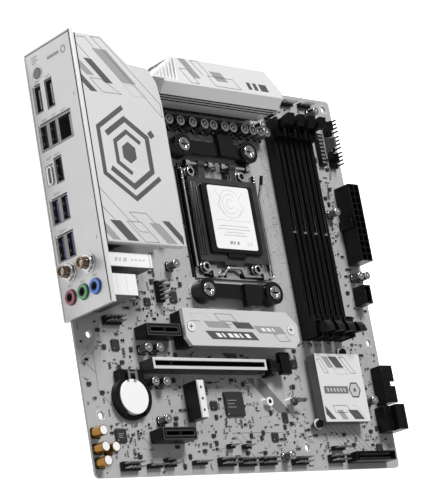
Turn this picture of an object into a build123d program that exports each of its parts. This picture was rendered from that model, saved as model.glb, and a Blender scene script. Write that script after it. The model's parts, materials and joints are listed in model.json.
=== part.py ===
from build123d import *
import math
import os

# Micro-ATX motherboard lying on its back. Lengths are in millimetres.
# Layout coordinates: x runs from the rear (port) edge, t runs down from the top edge,
# and z is the height above the board's component side.
BOARD = 243.84
BOARD_T = 1.6
BOARD_CORNER_R = 3.0
TAIL = 2.0
LIFT = BOARD_T + TAIL

# Rear panel
SHIELD_FACE_X = -2.8
SHIELD_T = 0.8
SHIELD_TOP = -1.1
SHIELD_BOTTOM = 156.7
SHIELD_HEIGHT = 39.0
SHIELD_LIP_X = -0.2
ANTENNA_TIP_X = -9.6
PORT_FRONT_X = -2.3

# Right edge: the angled headers reach just past the board
EDGE_FRONT_X = 244.4

ORIGIN_X = (ANTENNA_TIP_X + EDGE_FRONT_X) / 2
ORIGIN_Y = (BOARD - SHIELD_TOP) / 2

# Board mounting holes (x, t)
HOLE_R = 1.98
HOLES = {
    "F": (33.02, 6.35), "J": (165.1, 6.35), "M": (237.49, 6.35),
    "C": (10.16, 163.83), "H": (165.1, 163.83), "L": (237.49, 163.83),
    "B": (10.16, 209.55), "R": (165.1, 229.87),
}

# Processor socket
COOLER_X = 126.3
COOLER_T = 91.5
COOLER_SPAN_X = 54.0
COOLER_SPAN_T = 90.0
FRAME_X = (97.6, 158.6)
FRAME_T = (56.0, 127.5)
SOCKET_SCREWS = [(x, t) for x in (104.0, 146.0) for t in (62.0, 121.3)]
HINGE_T = 56.8
HINGE_Z = 4.4
HINGE_PIN_R = 1.0
LEVER_T = 125.4
LEVER_Z = 2.6
LEVER_ROD_R = 0.9
LEVER_ARM_X = 160.4
RUNNING_GAP = 0.06

# Memory slots
DIMM_X = [181.4, 190.7, 200.0, 209.3]
DIMM_T = (21.8, 163.8)
DIMM_W = 7.2
DIMM_Z = 7.4
DIMM_TOWER = 13.0
DIMM_TOWER_Z = 12.6
LATCH_W = 3.2
LATCH_TOP_Z = 23.0
LATCH_HEAD_Z = 17.4
LATCH_PIVOT_IN = 5.2
LATCH_PIVOT_Z = 4.6
LATCH_PIN_R = 1.0

# Expansion slots
SLOT_Z = 11.2
X16_X = (43.4, 131.6)
X16_T = (179.2, 185.8)
X1_UPPER = (43.6, 68.6, 159.2, 166.4)
X1_LOWER = (42.8, 67.8, 218.8, 226.0)

# Storage slots
M2_T = (149.9, 171.9)
M2_TOP_Z = 12.0
M2_SCREWS = [(76.4, 160.8), (156.8, 160.8)]
M2_LOWER_T = (192.0, 213.8)
M2_CLIP = (157.7, 202.4)
M2_MID_STANDOFF = (137.9, 202.4)

# Heatsinks
COVER_Z = 38.0
TOP_SINK_Z = 30.0
CHIPSET_BOX = (176.2, 215.6, 174.0, 216.4)
CHIPSET_SINK_Z = 9.0

# Coin cell
CELL = (32.0, 200.0)
CELL_R = 10.0

# Rear ports: (t low, t high)
AUDIO_Z = (5.8, 16.8, 27.4)
AUDIO_T = 144.9
ANTENNA_Z = (7.8, 24.5)
ANTENNA_T = 131.1
BUTTON_T = 13.5
BUTTON_Z = 6.0


def point(x, t, z):
    return (x - ORIGIN_X, BOARD - t - ORIGIN_Y, z + LIFT)


def block(x, t, z):
    """Box between two x values, two t values and two z values."""
    centre = point(sum(x) / 2, sum(t) / 2, sum(z) / 2)
    return Pos(*centre) * Box(x[1] - x[0], t[1] - t[0], z[1] - z[0])


def post(x, t, z, radius):
    """Upright cylinder between two z values."""
    centre = point(x, t, sum(z) / 2)
    return Pos(*centre) * Cylinder(radius, z[1] - z[0])


def rod_x(x, t, z, radius):
    """Cylinder lying along x between two x values."""
    centre = point(sum(x) / 2, t, z)
    return Pos(*centre) * Rot(0, 90, 0) * Cylinder(radius, x[1] - x[0])


def rod_t(x, t, z, radius):
    """Cylinder lying along t between two t values."""
    centre = point(x, sum(t) / 2, z)
    return Pos(*centre) * Rot(90, 0, 0) * Cylinder(radius, t[1] - t[0])


def slab(outline, z):
    """Plate with an outline of (x, t) corners, between two z values."""
    corners = [Vector(*point(x, t, z[0])) for x, t in outline]
    face = make_face(Polyline(*corners, close=True))
    return extrude(face, z[1] - z[0], dir=(0, 0, 1))


def profile_x(outline, x):
    """Bar along x with a section of (t, z) corners."""
    corners = [Vector(*point(x[0], t, z)) for t, z in outline]
    face = make_face(Polyline(*corners, close=True))
    return extrude(face, x[1] - x[0], dir=(1, 0, 0))


def profile_t(outline, t):
    """Bar along t with a section of (x, z) corners."""
    corners = [Vector(*point(x, t[0], z)) for x, z in outline]
    face = make_face(Polyline(*corners, close=True))
    return extrude(face, t[1] - t[0], dir=(0, -1, 0))


def solids_of(*shapes):
    found = []
    for shape in shapes:
        found.extend(shape.solids())
    return found


def save(name, *shapes):
    whole = Compound(solids_of(*shapes))
    whole.label = name
    export_step(whole, f"parts/{name}.step")


def make_board():
    plate = block((0, BOARD), (0, BOARD), (-BOARD_T, 0))
    plate = fillet(plate.edges().filter_by(Axis.Z), BOARD_CORNER_R)
    for x, t in HOLES.values():
        plate -= post(x, t, (-BOARD_T - 1, 1), HOLE_R)
    save("pcb", plate)


def port_openings():
    """Windows of the rear panel as (t range, z range)."""
    return [
        ((19.6, 36.6), (-0.3, 7.0)), ((19.6, 37.2), (10.6, 17.6)),
        ((42.8, 59.4), (-0.3, 29.2)),
        ((67.6, 80.2), (0.2, 7.4)), ((65.2, 80.6), (8.5, 15.7)),
        ((87.2, 102.6), (-0.3, 15.7)), ((108.6, 124.0), (-0.3, 15.7)),
    ]


def make_shield():
    face = (SHIELD_FACE_X, SHIELD_FACE_X + SHIELD_T)
    deep = (SHIELD_FACE_X, SHIELD_LIP_X)
    low = -LIFT
    panel = block(face, (SHIELD_TOP, SHIELD_BOTTOM), (low, SHIELD_HEIGHT))
    for t in ((SHIELD_TOP, SHIELD_TOP + SHIELD_T), (SHIELD_BOTTOM - SHIELD_T, SHIELD_BOTTOM)):
        panel += block(deep, t, (low, SHIELD_HEIGHT))
    for z in ((low, low + SHIELD_T), (SHIELD_HEIGHT - SHIELD_T, SHIELD_HEIGHT)):
        panel += block(deep, (SHIELD_TOP, SHIELD_BOTTOM), z)
    past = (SHIELD_FACE_X - 1, SHIELD_FACE_X + SHIELD_T + 1)
    for t, z in port_openings():
        panel -= block(past, t, z)
    panel -= rod_x(past, BUTTON_T, BUTTON_Z, 4.6)
    for z in ANTENNA_Z:
        panel -= rod_x(past, ANTENNA_T, z, 3.5)
    for z in AUDIO_Z:
        panel -= rod_x(past, AUDIO_T, z, 4.5)
    save("io_shield", panel)


def port_shell(t, z, depth, windows):
    """Metal port block with a cavity and a contact tongue for each window."""
    shell = block((PORT_FRONT_X, depth), t, z)
    for window_t, window_z, tongue in windows:
        shell -= block((PORT_FRONT_X - 1, depth - 3.0), window_t, window_z)
        shell += block((PORT_FRONT_X + 1.2, depth - 2.0), *tongue)
    return shell


def usb_window(t0, z0):
    """USB-A cavity with its tongue near the outer wall."""
    window_t = (t0, t0 + 13.2)
    window_z = (z0, z0 + 5.2)
    tongue = ((t0 + 1.0, t0 + 12.2), (z0 + 2.9, z0 + 4.7))
    return (window_t, window_z, tongue)


def make_ports():
    pairs = []
    for t0 in (87.6, 109.0):
        windows = [usb_window(t0 + 0.7, 1.1), usb_window(t0 + 0.7, 9.4)]
        pairs.append(port_shell((t0, t0 + 14.6), (0, 15.4), 15.5, windows))
    mixed = port_shell((65.6, 80.2), (8.8, 15.4), 15.5, [usb_window(66.3, 9.4)])
    mixed += block((2.0, 15.5), (65.6, 80.2), (0, 8.8))
    type_c = rod_c((PORT_FRONT_X, 2.0), 73.9, 3.8, 8.4, 3.2)
    type_c -= rod_c((PORT_FRONT_X - 1, 1.0), 73.9, 3.8, 7.4, 2.5)
    type_c += block((PORT_FRONT_X + 1.0, 1.5), (70.9, 76.9), (3.45, 4.15))
    save("usb_ports", *pairs, mixed + type_c)

    lan_tongue = ((45.0, 57.6), (25.2, 27.0))
    lan = [usb_window(44.5, 1.0), usb_window(44.5, 9.3), ((44.6, 57.9), (17.3, 28.0), lan_tongue)]
    save("lan_port", port_shell((43.2, 59.0), (0, 28.8), 18.5, lan))

    hdmi = ((20.8, 35.6), (1.2, 6.0), ((22.4, 34.0), (2.6, 3.8)))
    display = ((20.4, 36.0), (11.4, 16.6), ((22.4, 34.4), (13.6, 14.9)))
    save("display_ports", port_shell((20.0, 36.2), (0, 6.6), 12.0, [hdmi]),
         port_shell((20.0, 36.8), (10.9, 17.2), 12.0, [display])
         + block((2.0, 12.0), (20.0, 36.2), (6.6, 10.9)))

    # three jacks stacked into one block
    jacks = []
    for z, level in zip(AUDIO_Z, ((0, 11.3), (11.3, 22.1), (22.1, 33.0))):
        jack = block((0.4, 21.5), (138.9, 150.9), level)
        jack += rod_x((SHIELD_FACE_X - 0.5, 0.4), AUDIO_T, z, 4.1)
        jacks.append(jack - rod_x((SHIELD_FACE_X - 1, 13.0), AUDIO_T, z, 1.8))
    save("audio_jacks", *jacks)

    antennas = []
    for z in ANTENNA_Z:
        barrel = rod_x((ANTENNA_TIP_X, 1.0), ANTENNA_T, z, 3.15)
        barrel += rod_x((SHIELD_FACE_X - 0.7, SHIELD_FACE_X), ANTENNA_T, z, 4.7)
        barrel += hex_x((SHIELD_FACE_X - 2.2, SHIELD_FACE_X - 0.7), ANTENNA_T, z, 4.6)
        barrel -= rod_x((ANTENNA_TIP_X - 1, ANTENNA_TIP_X + 5.0), ANTENNA_T, z, 2.3)
        barrel += rod_x((ANTENNA_TIP_X + 1.5, ANTENNA_TIP_X + 6.0), ANTENNA_T, z, 0.65)
        antennas.append(barrel)
    save("antenna_connectors", *antennas)

    module = block((1.2, 35.4), (126.8, 134.8), (0, 33.0))
    module -= block((6.0, 30.6), (134.2, 135.8), (4.0, 26.0))
    save("wireless_module", module)

    button = rod_x((SHIELD_FACE_X + 0.3, 3.4), BUTTON_T, BUTTON_Z, 4.0)
    save("rear_button", button)


def rod_c(x, t, z, width, height):
    """Stadium section running along x, as a USB-C shell has."""
    half = (width - height) / 2
    shape = rod_x(x, t - half, z, height / 2) + rod_x(x, t + half, z, height / 2)
    return shape + block(x, (t - half, t + half), (z - height / 2, z + height / 2))


def hex_x(x, t, z, radius):
    corners = []
    for step in range(6):
        angle = math.radians(60 * step + 30)
        corners.append((t + radius * math.cos(angle), z + radius * math.sin(angle)))
    return profile_x(corners, x)


COVER_OUTLINE = [(0.4, 0.5), (20.0, 0.5), (37.0, 15.0), (53.0, 15.0), (58.5, 23.5),
                 (58.5, 122.6), (1.4, 122.6)]


def make_cover_and_sinks():
    cover = slab(COVER_OUTLINE, (COVER_Z - 5.0, COVER_Z))
    # facet that falls away towards the top right corner
    facet = [(58.5, 37.5), (36.5, 15.0)]
    a = Vector(*point(facet[0][0], facet[0][1], COVER_Z))
    b = Vector(*point(facet[1][0], facet[1][1], COVER_Z))
    c = Vector(*point(60.0, 12.0, COVER_Z - 3.2))
    plane = Plane(origin=a, x_dir=b - a, z_dir=(b - a).cross(c - a))
    keep = Keep.BOTTOM if plane.z_dir.Z > 0 else Keep.TOP
    cover = split(cover, bisect_by=plane, keep=keep)
    # hollow underneath, kept out of the thin ground below the facet
    cover -= block((2.0, 56.9), (44.0, 121.0), (COVER_Z - 6, COVER_Z - 1.4))
    cover -= block((2.0, 46.0), (24.0, 44.1), (COVER_Z - 6, COVER_Z - 1.4))
    cover -= block((2.0, 24.0), (6.0, 24.1), (COVER_Z - 6, COVER_Z - 1.4))
    save("io_cover", cover)

    left = block((26.0, 54.0), (26.0, 118.0), (4.0, 24.0))
    pitch = 5.2
    for step in range(17):
        t = 28.4 + step * pitch
        left -= block((25, 55), (t, t + 3.2), (10.0, 25.0))
    left += block((30.0, 34.0), (26.0, 118.0), (10.0, COVER_Z - 1.4))
    left += block((46.0, 50.0), (44.1, 118.0), (10.0, COVER_Z - 1.4))
    save("vrm_heatsink_left", left)

    top = profile_x([(0.2, 5.0), (0.2, 28.6), (1.6, TOP_SINK_Z), (17.9, TOP_SINK_Z),
                     (22.9, 25.0), (23.6, 24.4), (23.6, 5.0)], (61.5, 168.4))
    right_cut = [(153.6, -1.0), (169.5, 14.8), (169.5, -1.0)]
    left_cut = [(83.0, -1.0), (60.5, 17.4), (60.5, -1.0)]
    for outline in (right_cut, left_cut):
        top -= slab(outline, (4.0, 31.0))
    # the front end of the finned part is cut back behind the front slope
    top -= block((60.5, 71.4), (16.4, 25.0), (4.0, 31.0))
    for step in range(7):
        x = 63.6 + step * 2.7
        top -= block((x, x + 1.5), (-1.0, 15.6), (9.0, 31.0))
    for z in (23.8, 20.6, 17.4):
        top -= block((71.0, 169.0), (22.8, 24.0), (z - 1.6, z))
    save("vrm_heatsink_top", top)

    pads = [block((26.0, 34.0), (30.0, 114.0), (2.6, 4.0)),
            block((88.0, 160.0), (3.0, 11.0), (2.6, 5.0))]
    save("vrm_thermal_pads", *pads)

    chokes = []
    for step in range(8):
        chokes.append(block((60.5, 69.0), (30.0 + 10.2 * step, 38.6 + 10.2 * step), (0, 7.5)))
    for step in range(8):
        chokes.append(block((89.0 + 9.4 * step, 97.0 + 9.4 * step), (13.4, 22.4), (0, 4.8)))
    save("power_chokes", *[fillet(c.edges().filter_by(Axis.Z), 0.8) for c in chokes])


CAP_ROW_X = [79.8, 89.3, 98.4, 108.2, 117.9, 125.2, 134.7, 141.6, 151.4, 158.4, 164.9, 170.4]


def can(x, t, radius, height):
    """Aluminium can capacitor with a crimp groove near its foot."""
    body = post(x, t, (0, height), radius)
    groove = post(x, t, (1.2, 1.7), radius + 1) - post(x, t, (1.2, 1.7), radius - 0.3)
    return body - groove


def make_capacitors():
    cans = [can(x, 32.2, 3.1, 10.0) for x in CAP_ROW_X]
    spots = [(170.6, 26.2), (183.0, 16.2), (222.2, 11.3), (224.0, 79.6), (234.4, 121.5),
             (240.4, 121.2), (77.8, 121.6), (46.0, 172.3), (54.4, 172.2), (47.0, 191.8),
             (55.2, 191.8), (52.0, 213.2), (225.0, 202.4), (144.5, 235.4)]
    for x, t in spots:
        cans.append(can(x, t, 2.6, 7.6))
    for step in range(7):
        cans.append(can(76.0, 40.0 + 10.2 * step, 3.1, 10.0))
    save("polymer_capacitors", *cans)
    gold = [(3.6, 219.3), (3.4, 228.2), (10.6, 228.5), (3.6, 235.9)]
    save("audio_capacitors", *[can(x, t, 2.9, 8.0) for x, t in gold])


def make_socket():
    housing = block((105.5, 151.5), (67.5, 115.5), (0, 3.0))
    housing -= block((108.6, 148.6), (71.5, 111.5), (1.6, 4.0))
    save("cpu_socket", housing)

    frame = block(FRAME_X, FRAME_T, (0, 1.4))
    frame -= block((104.0, 153.2), (66.0, 117.0), (-1, 2))
    for x in ((FRAME_X[0], FRAME_X[0] + 1.2), (FRAME_X[1] - 1.2, FRAME_X[1])):
        frame += block(x, (60.0, 121.0), (1.4, 3.6))
    for x, t in SOCKET_SCREWS:
        frame += post(x, t, (1.4, 3.4), 4.0)
        frame -= post(x, t, (-1, 5), 1.6)
    # hinge ears at the top, lever bearings at the bottom
    for x in (100.4, 118.6, 129.2, 150.2):
        ear = block((x, x + 3.0), (HINGE_T - 0.6, HINGE_T + 1.6), (1.4, HINGE_Z))
        ear += rod_x((x, x + 3.0), HINGE_T, HINGE_Z, 2.1)
        frame += ear - block((x - 1, x + 4), (50, 70), (-1, 0))
    frame += rod_x((100.4, 153.2), HINGE_T, HINGE_Z, HINGE_PIN_R)
    for x in (108.4, 149.8):
        frame += block((x, x + 3.4), (LEVER_T - 2.0, LEVER_T + 2.0), (1.4, 4.8))
    frame -= rod_x((107, 162), LEVER_T, LEVER_Z, LEVER_ROD_R + RUNNING_GAP)
    save("socket_frame", frame)

    screws = []
    for x, t in SOCKET_SCREWS:
        screw = post(x, t, (3.4, 5.2), 2.9) + post(x, t, (0, 3.4), 1.5)
        screw -= post(x, t, (4.0, 6.0), 1.3)
        screws.append(screw)
    save("socket_screws", *screws)

    plate = block((100.2, 156.4), (65.4, 117.9), (4.0, 5.4))
    plate -= block((109.4, 149.0), (71.2, 111.8), (3.0, 6.0))
    plate += block((119.0, 134.6), (117.9, 119.7), (4.0, 5.4))
    for x in ((110.0, 115.0), (135.6, 140.6)):
        tab = block(x, (HINGE_T, 65.4), (4.0, 5.4)) + rod_x(x, HINGE_T, HINGE_Z, 2.3)
        plate += tab
    plate -= rod_x((105, 145), HINGE_T, HINGE_Z, HINGE_PIN_R + RUNNING_GAP)
    for x in (100.9, 102.9, 104.9):
        plate += block((x, x + 1.0), (69.0, 114.5), (5.4, 6.3))
    save("load_plate", plate)

    cap = block((108.2, 150.2), (69.6, 112.8), (5.4, 7.4))
    cap = fillet(cap.edges().filter_by(Axis.Z), 1.5)
    cap += block((110.0, 148.4), (71.8, 111.2), (3.4, 5.4))
    cap += block((122.0, 136.0), (112.8, 115.6), (5.4, 7.0))
    save("socket_cap", cap)

    save("load_lever", lever())

    plate = block((98.0, 154.6), (50.5, 132.5), (-LIFT, -BOARD_T))
    plate -= block((108.0, 144.6), (66.0, 117.0), (-LIFT - 1, 0))
    plate = fillet(plate.edges().filter_by(Axis.Z), 4.0)
    save("socket_backplate", plate)


def lever():
    """Bent rod: bearing run, crank over the tongue, arm and finger hook."""
    crank_t = LEVER_T - 4.0
    crank_z = LEVER_Z + 1.9
    route = [
        (107.2, LEVER_T, LEVER_Z), (118.0, LEVER_T, LEVER_Z), (121.5, crank_t, crank_z),
        (132.0, crank_t, crank_z), (135.5, LEVER_T, LEVER_Z), (LEVER_ARM_X, LEVER_T, LEVER_Z),
        (LEVER_ARM_X, 74.0, LEVER_Z), (LEVER_ARM_X + 0.6, 66.0, LEVER_Z + 3.0),
        (LEVER_ARM_X + 0.6, 61.0, LEVER_Z + 4.6),
    ]
    path = FilletPolyline(*[Vector(*point(*p)) for p in route], radius=1.4)
    start = Plane(origin=path @ 0, z_dir=path % 0)
    return sweep(start * Circle(LEVER_ROD_R), path)


def make_brackets():
    screws = []
    bars = []
    for side in (-1, 1):
        t = COOLER_T + side * COOLER_SPAN_T / 2
        inner = t - side * 4.5
        outer = t + side * 4.0
        bar = block((COOLER_X - 27, COOLER_X + 27), tuple(sorted((inner, outer))), (2.4, 6.4))
        bar -= block((COOLER_X - 19, COOLER_X + 19), (t - 5, t + 5), (2.0, 3.6))
        lug = tuple(sorted((outer, outer + side * 5.0)))
        bar += block((COOLER_X + 2.0, COOLER_X + 14.5), lug, (4.4, 8.4))
        bar += block((COOLER_X + 2.0, COOLER_X + 14.5), tuple(sorted((inner, outer))), (6.4, 8.4))
        for end in (-1, 1):
            x = COOLER_X + end * COOLER_SPAN_X / 2
            bar += post(x, t, (0, 8.0), 7.0)
            bar -= post(x, t, (-1, 9), 2.1)
            bar -= post(x, t, (6.4, 9), 4.7)
            head = post(x, t, (6.4, 8.8), 4.2) + post(x, t, (0, 6.4), 1.9)
            head -= block((x - 0.5, x + 0.5), (t - 2.6, t + 2.6), (7.6, 9.5))
            head -= block((x - 2.6, x + 2.6), (t - 0.5, t + 0.5), (7.6, 9.5))
            screws.append(head)
        bars.append(bar)
    save("cooler_brackets", *bars)
    save("cooler_bracket_screws", *screws)


def dimm_slot(x):
    width = (x - DIMM_W / 2, x + DIMM_W / 2)
    body = block(width, (DIMM_T[0] + DIMM_TOWER, DIMM_T[1] - DIMM_TOWER), (0, DIMM_Z))
    for start, out in ((DIMM_T[0], 1), (DIMM_T[1], -1)):
        ends = tuple(sorted((start, start + out * DIMM_TOWER)))
        body += block(width, ends, (0, DIMM_TOWER_Z))
        slit = tuple(sorted((start - out, start + out * (DIMM_TOWER - 3.4))))
        half = LATCH_W / 2 + 0.3
        body -= block((x - half, x + half), slit, (0.8, DIMM_TOWER_Z + 1))
        pivot = start + out * LATCH_PIVOT_IN
        body -= rod_x((x - 3.0, x + 3.0), pivot, LATCH_PIVOT_Z, LATCH_PIN_R + RUNNING_GAP)
    # card groove with its key bridge
    body -= block((x - 0.8, x + 0.8), (DIMM_T[0] + 10.5, 95.2), (2.6, DIMM_TOWER_Z + 1))
    body -= block((x - 0.8, x + 0.8), (96.9, DIMM_T[1] - 10.5), (2.6, DIMM_TOWER_Z + 1))
    return body


def dimm_latch(x, start, out):
    """Ejector latch: round foot on its pins, stem between the cheeks, ribbed head."""
    pivot = start + out * LATCH_PIVOT_IN
    half = LATCH_W / 2
    width = (x - half, x + half)
    latch = rod_x(width, pivot, LATCH_PIVOT_Z, 3.2)
    stem = [(pivot - out * 3.2, LATCH_PIVOT_Z), (pivot + out * 3.2, LATCH_PIVOT_Z),
            (pivot + out * 2.2, DIMM_TOWER_Z - 1), (pivot + out * 2.4, LATCH_TOP_Z - 3.0),
            (pivot - out * 0.6, LATCH_TOP_Z - 0.6), (pivot - out * 4.2, LATCH_TOP_Z),
            (pivot - out * 3.4, DIMM_TOWER_Z - 1)]
    latch += profile_x(stem, width)
    head = [(pivot - out * 3.6, LATCH_HEAD_Z), (pivot + out * 2.4, LATCH_HEAD_Z),
            (pivot + out * 2.4, LATCH_TOP_Z - 3.0), (pivot - out * 0.6, LATCH_TOP_Z - 0.6),
            (pivot - out * 4.2, LATCH_TOP_Z)]
    latch += profile_x(head, (x - 2.9, x + 2.9))
    latch += rod_x((x - 2.9, x + 2.9), pivot, LATCH_PIVOT_Z, LATCH_PIN_R)
    return latch


def make_memory():
    for index, x in enumerate(DIMM_X, start=1):
        save(f"dimm_slot_{index}", dimm_slot(x))
        save(f"dimm_latch_top_{index}", dimm_latch(x, DIMM_T[0], 1))
        save(f"dimm_latch_bottom_{index}", dimm_latch(x, DIMM_T[1], -1))


def power_connector(x, t, rows_x, rows_t):
    """Upright power connector with a square well for each contact."""
    pitch = 4.2
    height = 12.8
    body = block(x, t, (0, height))
    cx = sum(x) / 2
    ct = sum(t) / 2
    wells = []
    pins = []
    for i in range(rows_x):
        for j in range(rows_t):
            wx = cx + (i - (rows_x - 1) / 2) * pitch
            wt = ct + (j - (rows_t - 1) / 2) * pitch
            wells.append(block((wx - 1.75, wx + 1.75), (wt - 1.75, wt + 1.75), (1.5, height + 1)))
            pins.append(post(wx, wt, (1.5, 9.0), 0.55))
    for well, pin in zip(wells, pins):
        body = body - well + pin
    return body


def make_power_connectors():
    main = power_connector((232.8, 242.4), (61.8, 113.2), 2, 12)
    main += block((231.2, 232.8), (84.5, 90.5), (0, 11.0))
    save("atx_power_connector", main)
    save("cpu_power_connector", power_connector((38.4, 56.4), (2.0, 11.6), 4, 2))


def edge_slot(x, t, key_at):
    """Card-edge slot with its groove and key bridge."""
    body = block(x, t, (0, SLOT_Z))
    mid = sum(t) / 2
    body -= block((x[0] + 1.4, key_at), (mid - 0.9, mid + 0.9), (3.0, SLOT_Z + 1))
    body -= block((key_at + 1.7, x[1] - 1.4), (mid - 0.9, mid + 0.9), (3.0, SLOT_Z + 1))
    return body


def make_expansion_slots():
    t = (X16_T[0] + 0.5, X16_T[1] - 0.5)
    slot = edge_slot((X16_X[0] + 0.5, X16_X[1] - 0.5), t, 56.6)
    slot += block((X16_X[1], X16_X[1] + 4.6), t, (0, 3.0))
    slot += block((X16_X[1] - 0.5, X16_X[1]), t, (0, 3.0))
    save("pcie_x16_slot", slot)

    armour = block(X16_X, X16_T, (0.0, SLOT_Z + 0.5))
    armour -= block((X16_X[0] + 0.5, X16_X[1] + 1), (X16_T[0] + 0.5, X16_T[1] - 0.5), (-1, SLOT_Z))
    mid = sum(X16_T) / 2
    armour -= block((X16_X[0] + 1.6, X16_X[1] - 1.6), (mid - 1.5, mid + 1.5), (SLOT_Z - 1, SLOT_Z + 2))
    armour += block((X16_X[1] - 0.5, X16_X[1]), X16_T, (3.2, SLOT_Z + 0.5))
    save("pcie_x16_shield", armour)

    latch = rod_t(139.6, (mid - 3.6, mid + 3.6), 4.2, 2.2)
    latch += block((134.4, 139.6), (mid - 2.6, mid + 2.6), (4.4, 12.4))
    latch += block((133.2, 134.5), (mid - 2.6, mid + 2.6), (10.4, 13.6))
    latch += block((139.6, 147.5), (mid - 2.2, mid + 2.2), (4.6, 7.6))
    latch += block((147.0, 155.0), (mid - 8.8, mid + 4.4), (5.2, 8.6))
    latch -= rod_t(139.6, (mid - 9, mid + 9), 4.2, 1.0 + RUNNING_GAP)
    save("pcie_x16_latch", latch)

    x1 = [edge_slot(X1_UPPER[:2], X1_UPPER[2:], 55.8), edge_slot(X1_LOWER[:2], X1_LOWER[2:], 55.0)]
    save("pcie_x1_slots", *x1)


def latch_bracket():
    """Bearing yoke of the long slot's latch: two cheeks and the pin between them."""
    mid = sum(X16_T) / 2
    yoke = block((137.4, 141.8), (mid - 5.2, mid - 3.9), (0, 6.4))
    yoke += block((137.4, 141.8), (mid + 3.9, mid + 5.2), (0, 6.4))
    yoke += rod_t(139.6, (mid - 5.2, mid + 5.2), 4.2, 1.0)
    return yoke


def make_storage():
    outline = [(71.6, 149.9), (155.0, 149.9), (163.0, 157.4), (163.0, 167.2), (158.4, 171.9),
               (75.2, 171.9), (71.6, 167.0)]
    sink = slab(outline, (9.2, M2_TOP_Z))
    sink += block((84.0, 150.0), (151.4, 170.4), (5.2, 9.2))
    for step in range(5):
        t = 153.4 + step * 3.2
        sink -= block((83.0, 151.0), (t, t + 1.6), (6.8, 9.2))
    for x, t in M2_SCREWS:
        sink -= post(x, t, (9, 13), 1.6)
        sink -= post(x, t, (10.6, 13), 3.2)
    save("m2_heatsink", sink)

    screws = []
    for x, t in M2_SCREWS:
        screw = post(x, t, (10.6, 12.4), 3.0) + post(x, t, (9.2, 10.6), 1.4)
        screw -= block((x - 0.35, x + 0.35), (t - 1.6, t + 1.6), (11.6, 13.0))
        screw -= block((x - 1.6, x + 1.6), (t - 0.35, t + 0.35), (11.6, 13.0))
        screws.append(screw)
    save("m2_heatsink_screws", *screws)

    upper = block((72.4, 80.4), (150.2, 171.4), (0, 9.2))
    upper -= block((76.0, 81.0), (150.8, 170.8), (3.0, 4.2))
    upper -= post(M2_SCREWS[0][0], M2_SCREWS[0][1], (7.0, 10), 1.5)
    save("m2_socket_upper", upper)

    lower = block((73.4, 79.0), M2_LOWER_T, (0, 11.4))
    lower -= block((75.5, 80.0), (M2_LOWER_T[0] + 0.9, M2_LOWER_T[1] - 0.9), (3.6, 4.8))
    lower += block((73.6, 78.0), (M2_LOWER_T[0] + 0.2, M2_LOWER_T[1] - 0.2), (11.4, 12.2))
    for step in (-1, 0, 1):
        lower -= post(75.8, 202.9 + step * 6.6, (10.4, 13), 0.9)
    save("m2_socket_lower", lower)

    standoffs = []
    for x, t, z in ((M2_MID_STANDOFF[0], M2_MID_STANDOFF[1], 3.0), (M2_CLIP[0], M2_CLIP[1], 3.0),
                    (M2_SCREWS[1][0], M2_SCREWS[1][1], 9.2)):
        standoffs.append(post(x, t, (0, z), 2.9))
    for index, (x, t) in enumerate((M2_MID_STANDOFF, M2_CLIP, M2_SCREWS[1])):
        standoffs[index] -= post(x, t, (1.0, 12), 0.8)
    save("m2_standoffs", *standoffs)

    x, t = M2_CLIP
    clip = post(x, t, (3.1, 4.1), 2.6) + post(x, t, (4.1, 7.6), 1.5)
    clip += block((x - 4.2, x + 1.2), (t - 1.2, t + 1.2), (4.4, 5.6))
    clip += block((x - 0.9, x + 5.4), (t - 1.1, t + 1.1), (6.4, 7.6))
    clip += post(x + 5.0, t, (6.4, 8.6), 1.1)
    save("m2_clip", clip)


def make_chipset():
    x0, x1, t0, t1 = CHIPSET_BOX
    package = block((184.0, 208.0), (183.2, 207.2), (0, 1.0))
    package += block((190.0, 202.0), (189.2, 201.2), (1.0, 2.2))
    save("chipset", package)
    sink = block((x0, x1), (t0, t1), (2.2, CHIPSET_SINK_Z))
    sink = fillet(sink.edges().filter_by(Axis.Z), 1.0)
    for step in range(9):
        t = t0 + 3.4 + step * 4.2
        sink -= block((x0 + 3, x1 + 1), (t, t + 1.8), (1.0, 4.6))
    ears = [(x0 + 0.6, t1 - 1.6, -1, 1), (x1 - 9.0, t0 - 0.4, 0, -1)]
    pins = []
    for x, t, side_x, side_t in ears:
        ex = x + side_x * 2.4
        et = t + side_t * 1.8
        sink += post(ex, et, (2.2, 3.8), 3.4)
        sink -= post(ex, et, (1, 3.8), 1.7)
        sink -= post(ex, et, (3.8, 5.8), 2.6)
        pins.append(post(ex, et, (3.8, 5.6), 2.4) + post(ex, et, (0, 3.8), 1.6))
    save("chipset_heatsink", sink)
    save("heatsink_push_pins", *pins)


def make_battery():
    x, t = CELL
    holder = post(x, t, (0, 4.6), 12.7)
    holder += block((x - 8.5, x + 9.5), (t - 15.4, t - 8.0), (0, 4.6))
    holder -= post(x, t, (1.4, 6), CELL_R + 0.3)
    holder -= block((x - 6.5, x + 6.5), (t + 6.0, t + 14.0), (2.4, 6))
    holder += block((x - 2.5, x + 5.0), (t - 14.6, t - 11.0), (4.6, 6.2))
    save("battery_holder", holder)
    cell = post(x, t, (1.4, 2.2), CELL_R - 1.2) + post(x, t, (2.2, 5.0), CELL_R)
    save("coin_cell", fillet(cell.edges().filter_by(GeomType.CIRCLE).group_by(Axis.Z)[-1], 0.35))


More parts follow.
